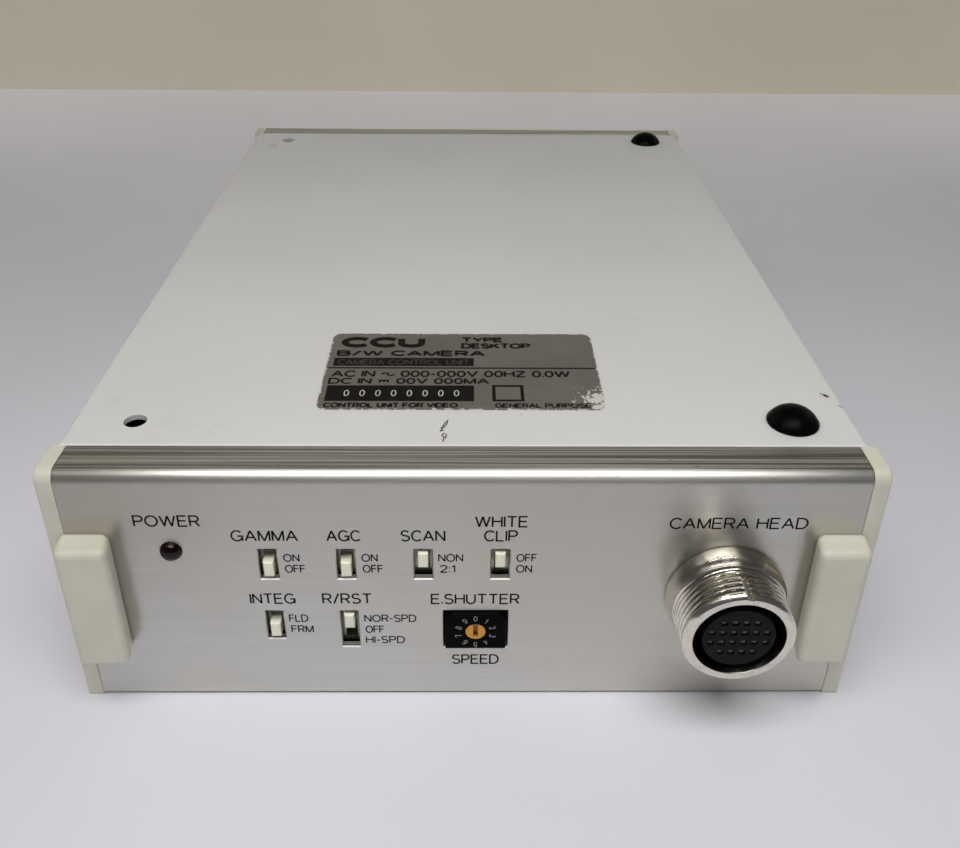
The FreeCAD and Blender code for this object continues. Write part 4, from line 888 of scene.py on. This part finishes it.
FLOOR_COLOUR = (0.80, 0.80, 0.86)
WALL_COLOUR = (0.84, 0.775, 0.625)
STAGE_SIDE, FLOOR_FRONT, WALL_Y, WALL_HEIGHT = 3, -0.75, 0.352, 0.42
ROOM_STRENGTH = 0.20
ROOM_COLOURS = [            # how far back, from 0 to 1, and the colour there
    (0.25, (0.42, 0.42, 0.43)),
    (0.75, (0.16, 0.145, 0.13)),
]
LIGHTS = [                  # name, place, target, width and depth, watts, spread in degrees and colour
    ("key", (0, -0.26, 0.42), (0, -0.17, 0), (0.36, 0.20), 0.79, 128, (1.0, 0.99, 0.975)),
    ("fill", (-0.55, -0.40, 0.75), (0, 0, 0), (0.22, 0.22), 0.45, 180, (1.0, 0.95, 0.90)),
    ("backdrop", (0, 0.10, 0.55), (0, WALL_Y, 0.16), (1.2, 0.12), 0.30, 60, (1.0, 0.97, 0.92)),
    ("side_left", (-0.50, 0.20, 0.32), (0, 0.05, 0), (0.3, 0.3), 0.22, 180, (1.0, 1.0, 1.0)),
    ("side_right", (0.50, 0.20, 0.32), (0, 0.05, 0), (0.3, 0.3), 0.22, 180, (1.0, 1.0, 1.0)),
]
FOCAL_PIXELS, FRAME_WIDTH, FRAME_HEIGHT = 964.0, 960, 848
AXIS_HEIGHT = 337.0         # where the optical axis meets the picture, from its top
SENSOR_WIDTH = 36.0
CAMERA_PLACE = (0.36 * MM, FRONT - 130.7 * MM, 150.5 * MM)
CAMERA_TURN = (61.25, -0.51, -0.556)    # degrees about each axis


def plane(name, corners, mat):
    """A flat piece of the stage."""
    mesh = bpy.data.meshes.new(name)
    mesh.from_pydata(corners, [], [tuple(range(len(corners)))])
    obj = bpy.data.objects.new(name, mesh)
    mesh.materials.append(mat)
    bpy.context.scene.collection.objects.link(obj)


def stage():
    """A floor, and a wall at its far edge."""
    left, right = -STAGE_SIDE, STAGE_SIDE
    far_edge = [(right, WALL_Y, 0), (left, WALL_Y, 0)]
    near_edge = [(left, FLOOR_FRONT, 0), (right, FLOOR_FRONT, 0)]
    top_edge = [(right, WALL_Y, WALL_HEIGHT), (left, WALL_Y, WALL_HEIGHT)]
    plane("floor", near_edge + far_edge, cloth("floor_cloth", FLOOR_COLOUR))
    plane("wall", far_edge[::-1] + top_edge, cloth("wall_cloth", WALL_COLOUR))


def sky():
    """An even room light that is darker behind the object, as a room beyond a table is."""
    world = bpy.data.worlds.new("room")
    bpy.context.scene.world = world
    world.use_nodes = True
    tree = world.node_tree
    background = tree.nodes["Background"]
    place = tree.nodes.new("ShaderNodeTexCoord")
    split = tree.nodes.new("ShaderNodeSeparateXYZ")
    tree.links.new(place.outputs["Generated"], split.inputs["Vector"])
    ramp = tree.nodes.new("ShaderNodeValToRGB")
    for element, (how_far, colour) in zip(ramp.color_ramp.elements, ROOM_COLOURS):
        element.position = how_far
        element.color = (*colour, 1)
    halve_and_shift = tree.nodes.new("ShaderNodeMath")
    halve_and_shift.operation = "MULTIPLY_ADD"
    halve_and_shift.inputs[1].default_value = 0.5
    halve_and_shift.inputs[2].default_value = 0.5
    tree.links.new(split.outputs["Y"], halve_and_shift.inputs[0])
    tree.links.new(halve_and_shift.outputs["Value"], ramp.inputs["Fac"])
    tree.links.new(ramp.outputs["Color"], background.inputs["Color"])
    background.inputs["Strength"].default_value = ROOM_STRENGTH


def area_light(name, where, target, size, power, spread_angle, colour):
    """A soft box at a place, aimed at a target; a smaller spread is a deeper grid."""
    light = bpy.data.lights.new(name, "AREA")
    light.shape = "RECTANGLE"
    light.size, light.size_y = size
    light.energy = power
    light.spread = math.radians(spread_angle)
    light.color = colour
    obj = bpy.data.objects.new(name, light)
    obj.location = where
    obj.rotation_euler = (Vector(target) - Vector(where)).to_track_quat("-Z", "Y").to_euler()
    bpy.context.scene.collection.objects.link(obj)


def set_camera():
    data = bpy.data.cameras.new("camera")
    data.sensor_width = SENSOR_WIDTH
    data.lens = SENSOR_WIDTH * FOCAL_PIXELS / FRAME_WIDTH
    data.shift_y = (AXIS_HEIGHT - FRAME_HEIGHT / 2) / FRAME_WIDTH
    data.clip_start = 10 * MM
    camera = bpy.data.objects.new("camera", data)
    camera.location = CAMERA_PLACE
    camera.rotation_euler = [math.radians(angle) for angle in CAMERA_TURN]
    bpy.context.scene.collection.objects.link(camera)
    bpy.context.scene.camera = camera


stage()
sky()
for light in LIGHTS:
    area_light(*light)
set_camera()
bpy.context.scene.view_settings.view_transform = "Standard"
